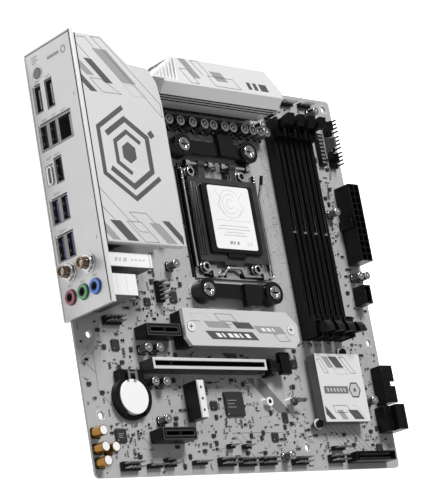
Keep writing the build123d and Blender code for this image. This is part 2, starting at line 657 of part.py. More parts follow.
def make_edge_connectors():
    usb3 = block((234.0, EDGE_FRONT_X), (180.6, 204.4), (0, 9.0))
    usb3 -= block((236.5, EDGE_FRONT_X + 1), (182.0, 203.0), (1.4, 7.6))
    usb3 += block((235.5, EDGE_FRONT_X - 1.0), (183.6, 201.4), (3.6, 5.4))
    usb3 -= block((EDGE_FRONT_X - 4.0, EDGE_FRONT_X + 1), (191.0, 193.8), (6.0, 10.0))
    save("usb3_header", usb3)

    sata = block((236.4, EDGE_FRONT_X), (206.3, 222.3), (0, 13.2))
    sata += block((230.8, 236.4), (206.3, 222.3), (0, 8.0))
    for z in (0.9, 7.2):
        sata -= block((237.6, EDGE_FRONT_X + 1), (208.2, 220.4), (z, z + 5.0))
        sata += block((237.6, EDGE_FRONT_X - 1.6), (209.8, 218.8), (z + 2.6, z + 3.8))
    save("sata_ports", sata)

    type_c = block((232.0, 238.8), (128.2, 140.4), (0, 9.4))
    type_c -= block((233.2, 237.6), (129.4, 139.2), (1.6, 10.0))
    type_c += block((234.9, 235.9), (130.8, 137.8), (1.6, 8.0))
    save("usb_c_header", type_c)


# Upright pin headers: (x, t, columns, rows) at their centres, on a 2.54 mm grid
PIN_PITCH = 2.54
BASE_Z = 2.5
HEADERS = [
    (24.2, 238.2, 5, 2), (41.8, 238.4, 4, 1), (53.4, 236.8, 3, 2), (75.6, 237.4, 4, 1),
    (96.6, 237.4, 5, 2), (112.8, 237.8, 5, 2), (129.4, 237.6, 5, 2), (155.6, 238.0, 5, 2),
    (187.2, 237.4, 5, 2), (190.4, 231.0, 4, 1), (101.6, 228.4, 2, 1), (113.6, 228.8, 2, 1),
    (66.6, 137.4, 2, 5), (237.8, 20.3, 1, 4), (237.8, 31.4, 1, 4), (237.8, 42.4, 1, 4),
    (202.0, 6.6, 4, 1), (218.2, 6.2, 4, 1), (27.4, 155.6, 5, 2),
]


def header_base(x, t, columns, rows):
    half_x = columns * PIN_PITCH / 2
    half_t = rows * PIN_PITCH / 2
    return block((x - half_x, x + half_x), (t - half_t, t + half_t), (0, BASE_Z))


def make_headers():
    bases = [header_base(*spot) for spot in HEADERS]
    box = block((197.8, 232.6), (234.6, 240.4), (0, 8.8))
    box -= block((198.8, 231.6), (235.6, 239.4), (1.6, 10.0))
    strip = block((223.4, 228.2), (25.0, 46.6), (0, 3.2))
    switch = block((5.4, 12.0), (BUTTON_T - 4.6, BUTTON_T + 4.6), (0, 9.6))
    save("header_bases", *bases, box, strip, switch, latch_bracket())


# Chips: (x, t, width along x, width along t, height)
CHIPS = [
    (110.6, 203.4, 14.6, 14.2, 1.4), (21.4, 221.0, 7.4, 7.4, 1.2), (77.2, 140.0, 5.0, 6.6, 1.2),
    (56.6, 143.6, 4.4, 4.4, 1.0), (139.4, 223.4, 5.0, 5.0, 1.0), (94.6, 204.2, 5.0, 4.8, 1.0),
    (27.6, 169.6, 5.2, 6.0, 1.2), (222.4, 176.6, 5.0, 6.0, 1.2), (228.4, 231.4, 5.0, 5.0, 1.0),
    (216.4, 128.6, 4.0, 5.4, 1.0), (216.2, 141.6, 5.0, 5.0, 1.0), (166.4, 178.6, 4.6, 5.2, 1.0),
    (150.6, 211.6, 4.0, 6.0, 1.0), (72.0, 27.6, 4.6, 4.6, 1.0),
]


def make_chips():
    packages = []
    for x, t, wide, long, high in CHIPS:
        packages.append(block((x - wide / 2, x + wide / 2), (t - long / 2, t + long / 2), (0, high)))
    for step in range(8):
        packages.append(block((26.6, 33.4), (31.0 + 10.2 * step, 36.6 + 10.2 * step), (0, 2.6)))
        packages.append(block((89.6 + 9.0 * step, 95.2 + 9.0 * step), (3.6, 10.4), (0, 2.6)))
    save("ic_packages", *packages)


def make_tails():
    """Clipped through-hole pins that stand below the board."""
    tails = []
    z = (-LIFT, -BOARD_T)
    for x, t, columns, rows in HEADERS:
        for i in range(columns):
            for j in range(rows):
                px = x + (i - (columns - 1) / 2) * PIN_PITCH
                pt = t + (j - (rows - 1) / 2) * PIN_PITCH
                tails.append(post(px, pt, z, 0.45))
    for i in range(2):
        for j in range(12):
            tails.append(post(235.5 + 4.2 * i, 64.4 + 4.2 * j, z, 0.8))
    for x in DIMM_X:
        for j in range(8):
            tails.append(post(x, 40.0 + 15.0 * j, z, 0.5))
    save("solder_tails", *tails)


def main():
    os.makedirs("parts", exist_ok=True)
    make_board()
    make_shield()
    make_ports()
    make_cover_and_sinks()
    make_capacitors()
    make_socket()
    make_brackets()
    make_memory()
    make_power_connectors()
    make_expansion_slots()
    make_storage()
    make_chipset()
    make_battery()
    make_edge_connectors()
    make_headers()
    make_chips()
    make_tails()


main()
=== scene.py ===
import json
import math
import random

import bmesh
import bpy
from mathutils import Matrix, Vector

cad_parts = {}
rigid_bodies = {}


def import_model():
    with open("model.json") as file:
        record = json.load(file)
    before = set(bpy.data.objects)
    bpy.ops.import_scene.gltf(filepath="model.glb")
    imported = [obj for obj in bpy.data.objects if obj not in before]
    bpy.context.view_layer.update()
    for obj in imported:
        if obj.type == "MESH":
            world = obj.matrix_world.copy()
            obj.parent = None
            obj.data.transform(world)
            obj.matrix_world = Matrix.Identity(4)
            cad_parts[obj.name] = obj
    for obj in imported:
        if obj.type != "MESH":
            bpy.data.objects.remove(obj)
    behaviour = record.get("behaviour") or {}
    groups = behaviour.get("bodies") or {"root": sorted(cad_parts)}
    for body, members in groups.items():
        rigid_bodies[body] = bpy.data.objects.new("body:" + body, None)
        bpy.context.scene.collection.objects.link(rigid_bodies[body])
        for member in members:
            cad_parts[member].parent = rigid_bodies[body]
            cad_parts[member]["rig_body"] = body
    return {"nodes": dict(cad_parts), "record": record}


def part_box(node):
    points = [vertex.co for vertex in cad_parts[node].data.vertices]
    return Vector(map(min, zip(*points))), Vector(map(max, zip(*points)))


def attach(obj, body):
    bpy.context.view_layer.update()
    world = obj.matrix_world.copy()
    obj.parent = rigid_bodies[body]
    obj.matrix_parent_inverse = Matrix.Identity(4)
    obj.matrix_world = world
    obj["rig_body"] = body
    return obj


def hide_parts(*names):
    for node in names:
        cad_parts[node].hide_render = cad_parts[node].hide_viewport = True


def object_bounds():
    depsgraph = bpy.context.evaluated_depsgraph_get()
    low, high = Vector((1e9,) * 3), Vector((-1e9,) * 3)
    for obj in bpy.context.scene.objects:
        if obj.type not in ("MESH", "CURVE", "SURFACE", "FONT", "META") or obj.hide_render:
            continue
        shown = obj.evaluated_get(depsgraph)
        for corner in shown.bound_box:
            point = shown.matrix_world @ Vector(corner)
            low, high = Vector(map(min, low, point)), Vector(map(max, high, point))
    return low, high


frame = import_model()
cad_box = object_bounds()
NODES = frame["nodes"]

# ---------------------------------------------------------------- layout
# Layout coordinates, as in the part's source: x in millimetres from the rear edge,
# t in millimetres down from the top edge, z in millimetres above the component side.
MM = 0.001
BOARD = 243.84
BOARD_LOW, BOARD_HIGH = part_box("pcb")


def at(x, t, z):
    return Vector((BOARD_LOW.x + x * MM, BOARD_HIGH.y - t * MM, BOARD_HIGH.z + z * MM))


def layout_ranges(points):
    """The (x, t, z) ranges of points in the shared frame, in layout coordinates."""
    xs = [(p.x - BOARD_LOW.x) / MM for p in points]
    ts = [(BOARD_HIGH.y - p.y) / MM for p in points]
    zs = [(p.z - BOARD_HIGH.z) / MM for p in points]
    return tuple((min(values), max(values)) for values in (xs, ts, zs))


def layout_box(node):
    """A CAD node's (x, t, z) ranges in layout coordinates."""
    return layout_ranges(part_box(node))


def top_of(node):
    """Height of a node's top over the board."""
    return layout_box(node)[2][1]


def middle(pair):
    return (pair[0] + pair[1]) / 2


def about(centre, half):
    """The range that reaches half to each side of a centre."""
    return (centre - half, centre + half)


def span(a, b):
    """The range between two places, whichever comes first."""
    return (min(a, b), max(a, b))


def in_axes(first, second, swap):
    """Two ranges as (x, t), or the other way round for a part that lies across."""
    return (second, first) if swap else (first, second)


def arc(x, t, radius, degrees):
    """Points at the given angles on a circle round (x, t)."""
    return [(x + radius * math.cos(math.radians(a)), t + radius * math.sin(math.radians(a)))
            for a in degrees]


def rect(x, t):
    """Corners of the rectangle over two ranges."""
    return [(x[0], t[0]), (x[1], t[0]), (x[1], t[1]), (x[0], t[1])]


# ---------------------------------------------------------------- materials
def ramp(nodes, links, value, low, high, low_out, high_out):
    """Maps a value range onto another; returns the output socket."""
    node = nodes.new("ShaderNodeMapRange")
    node.inputs["From Min"].default_value = low
    node.inputs["From Max"].default_value = high
    node.inputs["To Min"].default_value = low_out
    node.inputs["To Max"].default_value = high_out
    links.new(value, node.inputs["Value"])
    return node.outputs["Result"]


def noise(nodes, links, vector, size_mm, detail=3.0):
    """Noise whose features are about size_mm across."""
    node = nodes.new("ShaderNodeTexNoise")
    node.inputs["Scale"].default_value = 1.0 / (size_mm * MM)
    node.inputs["Detail"].default_value = detail
    links.new(vector, node.inputs["Vector"])
    return node.outputs["Fac"]


def mix_colour(nodes, links, factor, first, second):
    """Mixes two colours or sockets by a factor socket."""
    node = nodes.new("ShaderNodeMix")
    node.data_type = "RGBA"
    links.new(factor, node.inputs["Factor"])
    for name, value in (("A", first), ("B", second)):
        socket = [s for s in node.inputs if s.name == name and s.type == "RGBA"][0]
        if isinstance(value, bpy.types.NodeSocket):
            links.new(value, socket)
        else:
            socket.default_value = (*value, 1.0)
    return [s for s in node.outputs if s.type == "RGBA"][0]


def grey(level):
    return (level, level, level)


def scaled(colour, factor):
    return tuple(min(1.0, channel * factor) for channel in colour)


def finish_of(name, colour, rough, metal=0.0, patch=14.0, vary=0.06, grain=0.25,
              bump=0.1, gloss=0.5, rough_vary=0.06):
    """Principled finish with uneven colour, uneven gloss and a fine surface grain."""
    mat = bpy.data.materials.new(name)
    mat.use_nodes = True
    nodes, links = mat.node_tree.nodes, mat.node_tree.links
    shader = nodes["Principled BSDF"]
    place = nodes.new("ShaderNodeTexCoord").outputs["Object"]
    patches = noise(nodes, links, place, patch)
    links.new(mix_colour(nodes, links, ramp(nodes, links, patches, 0.3, 0.7, 0.0, 1.0),
                         scaled(colour, 1 - vary), scaled(colour, 1 + vary)),
              shader.inputs["Base Color"])
    fine = noise(nodes, links, place, grain, 2.0)
    links.new(ramp(nodes, links, fine, 0.25, 0.75, rough - rough_vary, rough + rough_vary),
              shader.inputs["Roughness"])
    relief = nodes.new("ShaderNodeBump")
    relief.inputs["Strength"].default_value = bump
    relief.inputs["Distance"].default_value = grain * MM * 0.3
    links.new(fine, relief.inputs["Height"])
    links.new(relief.outputs["Normal"], shader.inputs["Normal"])
    shader.inputs["Metallic"].default_value = metal
    shader.inputs["Specular IOR Level"].default_value = gloss
    return mat


def recoloured(mat, coordinate, colour, low, high, low_out, high_out):
    """Mixes in another colour where the z of a texture coordinate crosses a range."""
    nodes, links = mat.node_tree.nodes, mat.node_tree.links
    base = nodes["Principled BSDF"].inputs["Base Color"]
    split = nodes.new("ShaderNodeSeparateXYZ")
    links.new(nodes.new("ShaderNodeTexCoord").outputs[coordinate], split.inputs[0])
    share = ramp(nodes, links, split.outputs["Z"], low, high, low_out, high_out)
    links.new(mix_colour(nodes, links, share, base.links[0].from_socket, colour), base)
    return mat


def by_height(mat, colour, z_mm):
    """Gives a finish another colour above a height over the board."""
    level, soft = BOARD_HIGH.z + z_mm * MM, 0.02 * MM
    return recoloured(mat, "Object", colour, level - soft, level + soft, 0, 1)


def by_slope(mat, colour, level=False, turn=(0.35, 0.75)):
    """Gives a finish's upright faces, or its level ones, another colour; here that colour is
    painted light and shade set by which way a face is turned.
    """
    return recoloured(mat, "Normal", colour, *turn, 1.0 - level, float(level))


def laminate_finish():
    """Silver-grey board print: mottled, with faint slanted routing showing through."""
    mat = finish_of("board_print", grey(0.50), 0.42, metal=0.25, patch=38.0, vary=0.05,
                    grain=0.5, bump=0.05)
    nodes, links = mat.node_tree.nodes, mat.node_tree.links
    base_colour = nodes["Principled BSDF"].inputs["Base Color"]
    place = nodes.new("ShaderNodeTexCoord")
    turned = nodes.new("ShaderNodeMapping")
    turned.inputs["Rotation"].default_value = (0, 0, math.radians(45))
    links.new(place.outputs["Object"], turned.inputs["Vector"])
    routing = nodes.new("ShaderNodeTexWave")
    routing.inputs["Scale"].default_value = 260.0
    routing.inputs["Distortion"].default_value = 0.0
    links.new(turned.outputs["Vector"], routing.inputs["Vector"])
    zones = noise(nodes, links, place.outputs["Object"], 22.0, 1.0)
    zone = ramp(nodes, links, zones, 0.52, 0.6, 0.0, 0.35)
    lines = ramp(nodes, links, routing.outputs["Fac"], 0.75, 0.95, 0.0, 1.0)
    both = nodes.new("ShaderNodeMath")
    both.operation = "MULTIPLY"
    links.new(zone, both.inputs[0])
    links.new(lines, both.inputs[1])
    printed = mix_colour(nodes, links, both.outputs[0], base_colour.links[0].from_socket,
                         grey(0.30))
    # bare glass-fibre edge where the surface faces sideways
    split = nodes.new("ShaderNodeSeparateXYZ")
    links.new(place.outputs["Normal"], split.inputs[0])
    upright = nodes.new("ShaderNodeMath")
    upright.operation = "ABSOLUTE"
    links.new(split.outputs["Z"], upright.inputs[0])
    edge = ramp(nodes, links, upright.outputs[0], 0.3, 0.6, 1.0, 0.0)
    links.new(mix_colour(nodes, links, edge, printed, (0.22, 0.21, 0.19)), base_colour)
    return mat


# name: (colour or grey level, roughness, what differs from a plain finish)
LOOKS = {
    "shield_steel": (0.40, 0.38, dict(metal=0.45, vary=0.03, grain=0.4, bump=0.04)),
    "silver_paint": (0.78, 0.34, dict(metal=0.35, vary=0.03, grain=0.12, bump=0.12, patch=40.0)),
    "thermal_pad": ((0.35, 0.38, 0.42), 0.8, dict(grain=0.5, bump=0.4)),
    "choke_grey": (0.10, 0.55, dict(metal=0.2, grain=0.3, bump=0.4)),
    "can_aluminium": (0.70, 0.22, dict(metal=0.95, vary=0.08, grain=0.2)),
    "gold_can": ((0.22, 0.108, 0.012), 0.28, dict(metal=0.75, vary=0.12, grain=0.25, patch=3.0)),
    "black_plastic": (0.004, 0.38, dict(vary=0.25, grain=0.12, bump=0.2, gloss=0.22)),
    "grey_plastic": (0.09, 0.5, dict(grain=0.15, bump=0.25)),
    "white_plastic": (0.82, 0.42, dict(vary=0.02, grain=0.15, bump=0.15)),
    "spring_steel": (0.66, 0.18, dict(metal=0.95, vary=0.08, grain=0.15, bump=0.08, patch=6.0)),
    "dark_steel": (0.095, 0.30, dict(metal=0.7, vary=0.2, grain=0.2, bump=0.1, patch=6.0)),
    "brass_standoff": ((0.78, 0.77, 0.75), 0.24, dict(metal=0.85, grain=0.2)),
    "gold_plated_brass": ((0.20, 0.145, 0.105), 0.20,
        dict(metal=0.95, vary=0.12, grain=0.2, patch=2.5)),
    "chip_epoxy": (0.028, 0.50, dict(vary=0.12, grain=0.18, bump=0.3, patch=5.0, gloss=0.3)),
    "cell_steel": (0.97, 0.34, dict(metal=0.1, vary=0.01, grain=0.6, bump=0.01, rough_vary=0.02)),
    "port_steel": (0.48, 0.26, dict(metal=0.9, vary=0.06, grain=0.3, bump=0.05)),
    "solder": (0.55, 0.30, dict(metal=0.9, vary=0.15, grain=0.3, patch=1.2)),
    # dark print, also used as a painted shadow on the board round the capacitor row
    "ink_dark_and_painted_shadow": (0.085, 0.42, dict(vary=0.10, grain=0.15, bump=0.05)),
    "ink_grey": (0.33, 0.40, dict(vary=0.05, grain=0.15, bump=0.05)),
    "ink_light": (0.52, 0.40, dict(vary=0.04, grain=0.15, bump=0.05)),
    "ink_band": (0.17, 0.42, dict(vary=0.08, grain=0.15, bump=0.05)),
    "ink_line": (0.13, 0.45, dict(vary=0.08, grain=0.15, bump=0.05)),
    # near-black for black parts, also used as painted shade in holes, grooves, recesses and gaps
    "black_and_painted_shade": (0.003, 0.6, dict(vary=0.2, grain=0.2, gloss=0.15)),
    "contact": ((0.10, 0.075, 0.04), 0.4, dict(metal=0.9, grain=0.1)),
    "two_tone_socket": (0.008, 0.4, dict(vary=0.2, grain=0.12, gloss=0.25)),
    # finishes that get painted light and shade by slope further down: shade on upright faces for
    # most, light on the top heatsink's steep faces
    "steel_with_painted_shade_sides": (0.80, 0.3, dict(metal=0.3, vary=0.03, grain=0.2, bump=0.05)),
    "paint_with_painted_shade_sides": (0.95, 0.34, dict(metal=0.35, vary=0.03, grain=0.12, patch=40.0)),
    "paint_with_painted_light_sides": (0.78, 0.34,
        dict(metal=0.12, vary=0.03, grain=0.12, bump=0.12, patch=40.0)),
    "chrome_with_painted_shade_sides": (0.90, 0.17, dict(metal=0.85, vary=0.08, grain=0.15, bump=0.05, patch=5.0)),
    "can_with_painted_shade_sides": (0.74, 0.22, dict(metal=0.9, vary=0.08, grain=0.2)),
    "white_with_painted_shade_sides": (0.86, 0.42, dict(vary=0.02, grain=0.15, bump=0.15)),
    "dark_shell": (0.16, 0.30, dict(metal=0.8, vary=0.1, grain=0.2)),
    "gloss_black": (0.005, 0.24, dict(vary=0.2, grain=0.4, bump=0.04, gloss=0.45)),
    "screw_white": (0.88, 0.35, dict(metal=0.2, vary=0.03, grain=0.15)),
    "gold": ((0.75, 0.52, 0.20), 0.25, dict(metal=1.0, grain=0.1)),
    "blue": ((0.006, 0.010, 0.085), 0.42, dict(grain=0.15, bump=0.2)),
    "jack_pink": ((0.20, 0.055, 0.085), 0.38, dict(grain=0.15, bump=0.2)),
    "jack_green": ((0.07, 0.22, 0.09), 0.38, dict(grain=0.15, bump=0.2)),
    "jack_blue": ((0.04, 0.13, 0.42), 0.38, dict(grain=0.15, bump=0.2)),
    "ceramic": ((0.16, 0.13, 0.11), 0.5, dict(vary=0.3, grain=0.2, patch=1.5)),
    "label": (0.86, 0.55, dict(vary=0.015, grain=0.3, bump=0.1)),
}
FINISH = {}
for name, (tone, rough, look) in LOOKS.items():
    colour = grey(tone) if isinstance(tone, float) else tone
    FINISH[name] = finish_of(name, colour, rough, **look)
FINISH["board_laminate"] = laminate_finish()
# painted light and shade: the shield's level faces are lightened and its upright face kept darker,
# standing in for how the light falls on them
by_slope(FINISH["shield_steel"], grey(0.85), level=True)
by_height(FINISH["two_tone_socket"], grey(0.80), 11.38)
# painted shade: the upright faces of these finishes are darkened where they face away from the
# light
by_slope(FINISH["steel_with_painted_shade_sides"], grey(0.02))
by_slope(FINISH["paint_with_painted_shade_sides"], grey(0.12))
# painted light on the top heatsink's steep faces; sloping faces count as steep here, so the
# heatsink's front bevel gets the painted light too
by_slope(FINISH["paint_with_painted_light_sides"], grey(0.98), turn=(0.80, 0.92))
# painted shade on chrome's steep faces, which leaves a bright strip along the top of each rod as a
# painted highlight
by_slope(FINISH["chrome_with_painted_shade_sides"], grey(0.025))
# painted shade on the upright sides of the capacitor cans, the white jack block and the wireless
# module
by_slope(FINISH["can_with_painted_shade_sides"], grey(0.13))
by_slope(FINISH["white_with_painted_shade_sides"], grey(0.10))


# ---------------------------------------------------------------- mesh tools
class Piece:
    """Gathers simple solids in layout coordinates into one detailed mesh object."""

    def __init__(self, *finishes):
        self.mesh = bmesh.new()
        self.finishes = finishes

    def solid(self, rings, finish=None, smooth=False, loop=False):
        """Closed solid through rings of points, capped at both ends or joined in a loop."""
        index = self.finishes.index(finish) if finish else 0
        rows = [[self.mesh.verts.new(p) for p in ring] for ring in rings]
        if loop:
            faces = []
            rows.append(rows[0])
        else:
            faces = [self.mesh.faces.new(list(reversed(rows[0]))), self.mesh.faces.new(rows[-1])]
        for low, high in zip(rows, rows[1:]):
            for k in range(len(low)):
                j = (k + 1) % len(low)
                face = self.mesh.faces.new((low[k], low[j], high[j], high[k]))
                face.smooth = smooth
                faces.append(face)
        for face in faces:
            face.material_index = index
        return faces

    def plate(self, outline, z, finish=None, inset=0.0):
        """Plate over an (x, t) outline between two z values; the top may be inset."""
        low = [at(x, t, z[0]) for x, t in outline]
        high = [at(x, t, z[1]) for x, t in (shrunk(outline, inset) if inset else outline)]
        if inset:
            waist = [at(x, t, z[1] - inset) for x, t in outline]
            return self.solid([low, waist, high], finish)
        return self.solid([low, high], finish)

    def box(self, x, t, z, finish=None, inset=0.0):
        outline = [(x[0], t[1]), (x[1], t[1]), (x[1], t[0]), (x[0], t[0])]
        return self.plate(outline, z, finish, inset)

    def lathe(self, place, profile, axis="z", finish=None, sides=20, smooth=True, loop=False):
        """Turned solid: (radius, height) profile along an axis through a layout place."""
        x, t, z = place
        rings = []
        for radius, height in profile:
            ring = []
            for k in range(sides):
                angle = 2 * math.pi * k / sides
                a, b = radius * math.cos(angle), radius * math.sin(angle)
                offset = {"z": (a, -b, height), "x": (height, -a, b), "t": (a, height, b)}[axis]
                ring.append(at(x + offset[0], t + offset[1], z + offset[2]))
            rings.append(ring)
        return self.solid(rings, finish, smooth, loop)

    def ring(self, place, radii, ends, axis="z", finish=None, sides=24):
        """Flat ring or tube wall between two radii and two heights."""
        inner, outer = radii
        edge = min(0.15, (outer - inner) * 0.2)
        profile = [(inner, ends[0]), (outer, ends[0]), (outer, ends[1] - edge * direction(ends)),
                   (outer - edge, ends[1]), (inner, ends[1])]
        self.lathe(place, profile, axis, finish, sides, loop=True)

    def strip(self, points, width, z, finish=None, closed=False):
        """Printed or raised line of even width along (x, t) points, with mitred corners."""
        left, right = offsets(points, width / 2, closed)
        count = len(points)
        for k in range(count if closed else count - 1):
            j = (k + 1) % count
            self.plate([left[k], right[k], right[j], left[j]], z, finish)

    def make(self, name, body="board", slot=None):
        bmesh.ops.recalc_face_normals(self.mesh, faces=self.mesh.faces)
        data = bpy.data.meshes.new(name)
        self.mesh.to_mesh(data)
        self.mesh.free()
        piece = bpy.data.objects.new(name, data)
        bpy.context.scene.collection.objects.link(piece)
        for finish in self.finishes:
            data.materials.append(FINISH[finish])
        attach(piece, body)
        return piece


def direction(pair):
    return 1 if pair[1] > pair[0] else -1


def offsets(points, half, closed):
    """Points to the left and right of a path, mitred at its corners."""
    left, right = [], []
    count = len(points)
    for k, (x, t) in enumerate(points):
        before = points[k - 1] if k or closed else None
        after = points[(k + 1) % count] if k < count - 1 or closed else None
        normals = []
        for a, b in ((before, (x, t)), ((x, t), after)):
            if a and b:
                along = Vector((b[0] - a[0], b[1] - a[1])).normalized()
                normals.append(Vector((along.y, -along.x)))
        mean = (normals[0] + normals[-1]).normalized()
        reach = half / max(0.3, mean.dot(normals[0]))
        left.append((x + mean.x * reach, t + mean.y * reach))
        right.append((x - mean.x * reach, t - mean.y * reach))
    return left, right


def shrunk(outline, inset):
    """The outline moved inwards by an even inset."""
    left, right = offsets(outline, inset, True)
    return min((left, right), key=lambda path: abs(area(path)))


def area(outline):
    return sum(a[0] * b[1] - b[0] * a[1] for a, b in zip(outline, outline[1:] + outline[:1])) / 2


WELD = 0.002 * MM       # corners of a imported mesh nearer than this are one
FLAT_ANGLE = 1.0        # faces that turn less than this, in degrees, are merged
SMOOTH_ANGLE = 30       # edges below this shade smooth
BEVEL_ANGLE = 38.0      # edges above this are rounded


def refine(node, width):
    """Stands a CAD node in for itself with merged faces and rounded edges."""
    source = NODES[node]
    data = source.data.copy()
    mesh = bmesh.new()
    mesh.from_mesh(data)
    bmesh.ops.remove_doubles(mesh, verts=mesh.verts, dist=WELD)
    bmesh.ops.dissolve_limit(mesh, angle_limit=math.radians(FLAT_ANGLE),
                             verts=mesh.verts, edges=mesh.edges)
    for edge in mesh.edges:
        turn = edge.calc_face_angle(math.pi)
        edge.smooth = len(edge.link_faces) == 2 and turn < math.radians(SMOOTH_ANGLE)
    for face in mesh.faces:
        face.smooth = True
    mesh.to_mesh(data)
    mesh.free()
    piece = bpy.data.objects.new(f"{node}_finished", data)
    bpy.context.scene.collection.objects.link(piece)
    bevel = piece.modifiers.new("edge", "BEVEL")
    bevel.width = width * MM
    bevel.segments = 2
    bevel.limit_method = "ANGLE"
    bevel.angle_limit = math.radians(BEVEL_ANGLE)
    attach(piece, source["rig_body"])
    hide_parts(node)
    return piece


def islands(node):
    """The separate solids of a CAD node, as lists of corner positions."""
    mesh = bmesh.new()
    mesh.from_mesh(NODES[node].data)
    bmesh.ops.remove_doubles(mesh, verts=mesh.verts, dist=WELD)
    seen, groups = set(), []
    for start in mesh.verts:
        if start in seen:
            continue
        group, stack = [], [start]
        seen.add(start)
        while stack:
            vert = stack.pop()
            group.append(vert.co.copy())
            for edge in vert.link_edges:
                other = edge.other_vert(vert)
                if other not in seen:
                    seen.add(other)
                    stack.append(other)
        groups.append(group)
    mesh.free()
    return groups


def island_boxes(node):
    """(x, t, z) ranges of each solid of a node, in layout coordinates."""
    return [layout_ranges(group) for group in islands(node)]


# ---------------------------------------------------------------- CAD nodes
SLOT_OF = {part["node"]: part["material_slot"] for part in frame["record"]["subparts"]}
# edge rounding in millimetres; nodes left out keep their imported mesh
ROUNDED = {
    "io_shield": 0.3, "io_cover": 0.5, "vrm_heatsink_top": 0.35, "m2_heatsink": 0.3,
    "chipset_heatsink": 0.35, "wireless_module": 0.4, "load_plate": 0.15, "socket_cap": 0.3,
    "socket_frame": 0.15, "cooler_brackets": 0.5, "cooler_bracket_screws": 0.25,
    "socket_screws": 0.25, "atx_power_connector": 0.2, "cpu_power_connector": 0.2,
    "pcie_x16_latch": 0.3, "pcie_x16_shield": 0.15, "pcie_x16_slot": 0.15, "pcie_x1_slots": 0.2,
    "m2_socket_upper": 0.2, "m2_socket_lower": 0.2, "battery_holder": 0.3, "usb3_header": 0.3,
    "sata_ports": 0.25, "usb_c_header": 0.2, "header_bases": 0.15, "ic_packages": 0.12,
    "m2_clip": 0.15, "m2_heatsink_screws": 0.2, "polymer_capacitors": 0.3,
    "audio_capacitors": 0.3, "power_chokes": 0.2, "antenna_connectors": 0.12,
    "usb_ports": 0.12, "lan_port": 0.12, "display_ports": 0.12,
}
for i in range(1, 5):
    ROUNDED[f"dimm_slot_{i}"] = 0.2
    ROUNDED[f"dimm_latch_top_{i}"] = 0.3
    ROUNDED[f"dimm_latch_bottom_{i}"] = 0.3


# several overrides carry painted shade on upright faces, and the top heatsink painted light on its
# steep faces
OVERRIDES = {
    "m2_socket_lower": "two_tone_socket", "pcie_x16_shield": "steel_with_painted_shade_sides",
    "vrm_heatsink_top": "paint_with_painted_light_sides",
    "chipset_heatsink": "paint_with_painted_shade_sides", "polymer_capacitors": "can_with_painted_shade_sides",
    "audio_jacks": "white_with_painted_shade_sides", "wireless_module": "white_with_painted_shade_sides",
    "m2_heatsink_screws": "screw_white", "load_lever": "chrome_with_painted_shade_sides", "socket_frame": "chrome_with_painted_shade_sides",
    "socket_screws": "chrome_with_painted_shade_sides", "cooler_brackets": "gloss_black", "socket_cap": "gloss_black",
    "usb_ports": "dark_shell", "lan_port": "dark_shell", "display_ports": "dark_shell",
}


def dress_nodes():
    for node, piece in NODES.items():
        slot = SLOT_OF[node]
        if node in ROUNDED:
            piece = refine(node, ROUNDED[node])
        piece.data.materials.clear()
        piece.data.materials.append(FINISH[OVERRIDES.get(node, slot)])


# ---------------------------------------------------------------- rear ports
SHIELD_X = layout_box("io_shield")[0][0]
JACK_Z = (5.8, 16.8, 27.4)
JACK_T = 144.9
ANTENNA_T, ANTENNA_Z = 131.1, (7.8, 24.5)
USB_W, USB_H = 13.2, 5.2        # a USB opening, across t and up z
BUTTON_T, BUTTON_Z = 13.5, 6.0
SMALL_PORT_T, SMALL_PORT_Z = 73.9, 3.8


def usb_ports_at():
    """(t, z, tongue finish) of each USB opening's lowest corner."""
    spots = [(t0 + 0.7, z0, "blue") for t0 in (87.6, 109.0) for z0 in (1.1, 9.4)]
    spots += [(66.3, 9.4, "black_and_painted_shade"), (44.5, 1.0, "black_and_painted_shade"), (44.5, 9.3, "black_and_painted_shade")]
    return spots


def port_insides():
    tongues = Piece("black_and_painted_shade", "blue", "gold", "port_steel")
    for t0, z0, finish in usb_ports_at():
        # dark box filling the back of each USB opening: painted shade
        tongues.box((2.4, 9.0), (t0 + 0.05, t0 + USB_W - 0.05),
                    (z0 + 0.05, z0 + USB_H - 0.05), "black_and_painted_shade")
        tongues.box((SHIELD_X + 0.9, 2.4), (t0 + 0.8, t0 + USB_W - 0.8),
                    (z0 + 3.3, z0 + 4.95), finish, 0.2)
        for k in range(4):
            t = t0 + 2.6 + k * 2.65
            tongues.box((SHIELD_X + 1.4, 2.4), about(t, 0.5), (z0 + 3.2, z0 + 3.32), "gold")
        for t in (t0 + 3.6, t0 + USB_W - 3.6):
            tongues.box((-1.6, 2.0), about(t, 0.9), (z0 + 0.02, z0 + 0.42), "port_steel", 0.1)
    # network jack: a dark back box of painted shade and eight contacts
    tongues.box((6.0, 15.0), (44.7, 57.8), (17.4, 27.9), "black_and_painted_shade")
    for k in range(8):
        t = 46.9 + k * 1.25
        tongues.box((0.4, 6.0), about(t, 0.25), (25.0, 25.25), "gold")
    # display ports: dark inner blocks of painted shade around their tongues
    tongues.box((3.4, 8.6), (20.95, 35.45), (1.3, 5.9), "black_and_painted_shade")
    tongues.box((3.4, 8.6), (20.5, 35.9), (11.5, 16.5), "black_and_painted_shade")
    tongues.box((-0.6, 0.9), (71.0, 76.8), (3.1, 4.5), "black_and_painted_shade", 0.1)
    tongues.make("port_insides")


def audio_rings():
    rings = Piece("jack_pink", "jack_green", "jack_blue", "black_and_painted_shade", "port_steel")
    for z, finish in zip(JACK_Z, ("jack_pink", "jack_green", "jack_blue")):
        place = (0, JACK_T, z)
        rings.ring(place, (2.5, 4.25), (-2.6, -4.2), "x", finish, 32)
        # dark ring at each jack's mouth and dark lining of its bore: painted shade
        rings.ring(place, (1.85, 2.6), (-2.6, -4.05), "x", "black_and_painted_shade", 24)
        rings.ring(place, (1.62, 1.79), (12.8, -4.0), "x", "black_and_painted_shade")
        rings.ring(place, (1.3, 1.6), (4.0, 4.6), "x", "port_steel")
    rings.make("audio_jack_rings", slot="white_plastic")


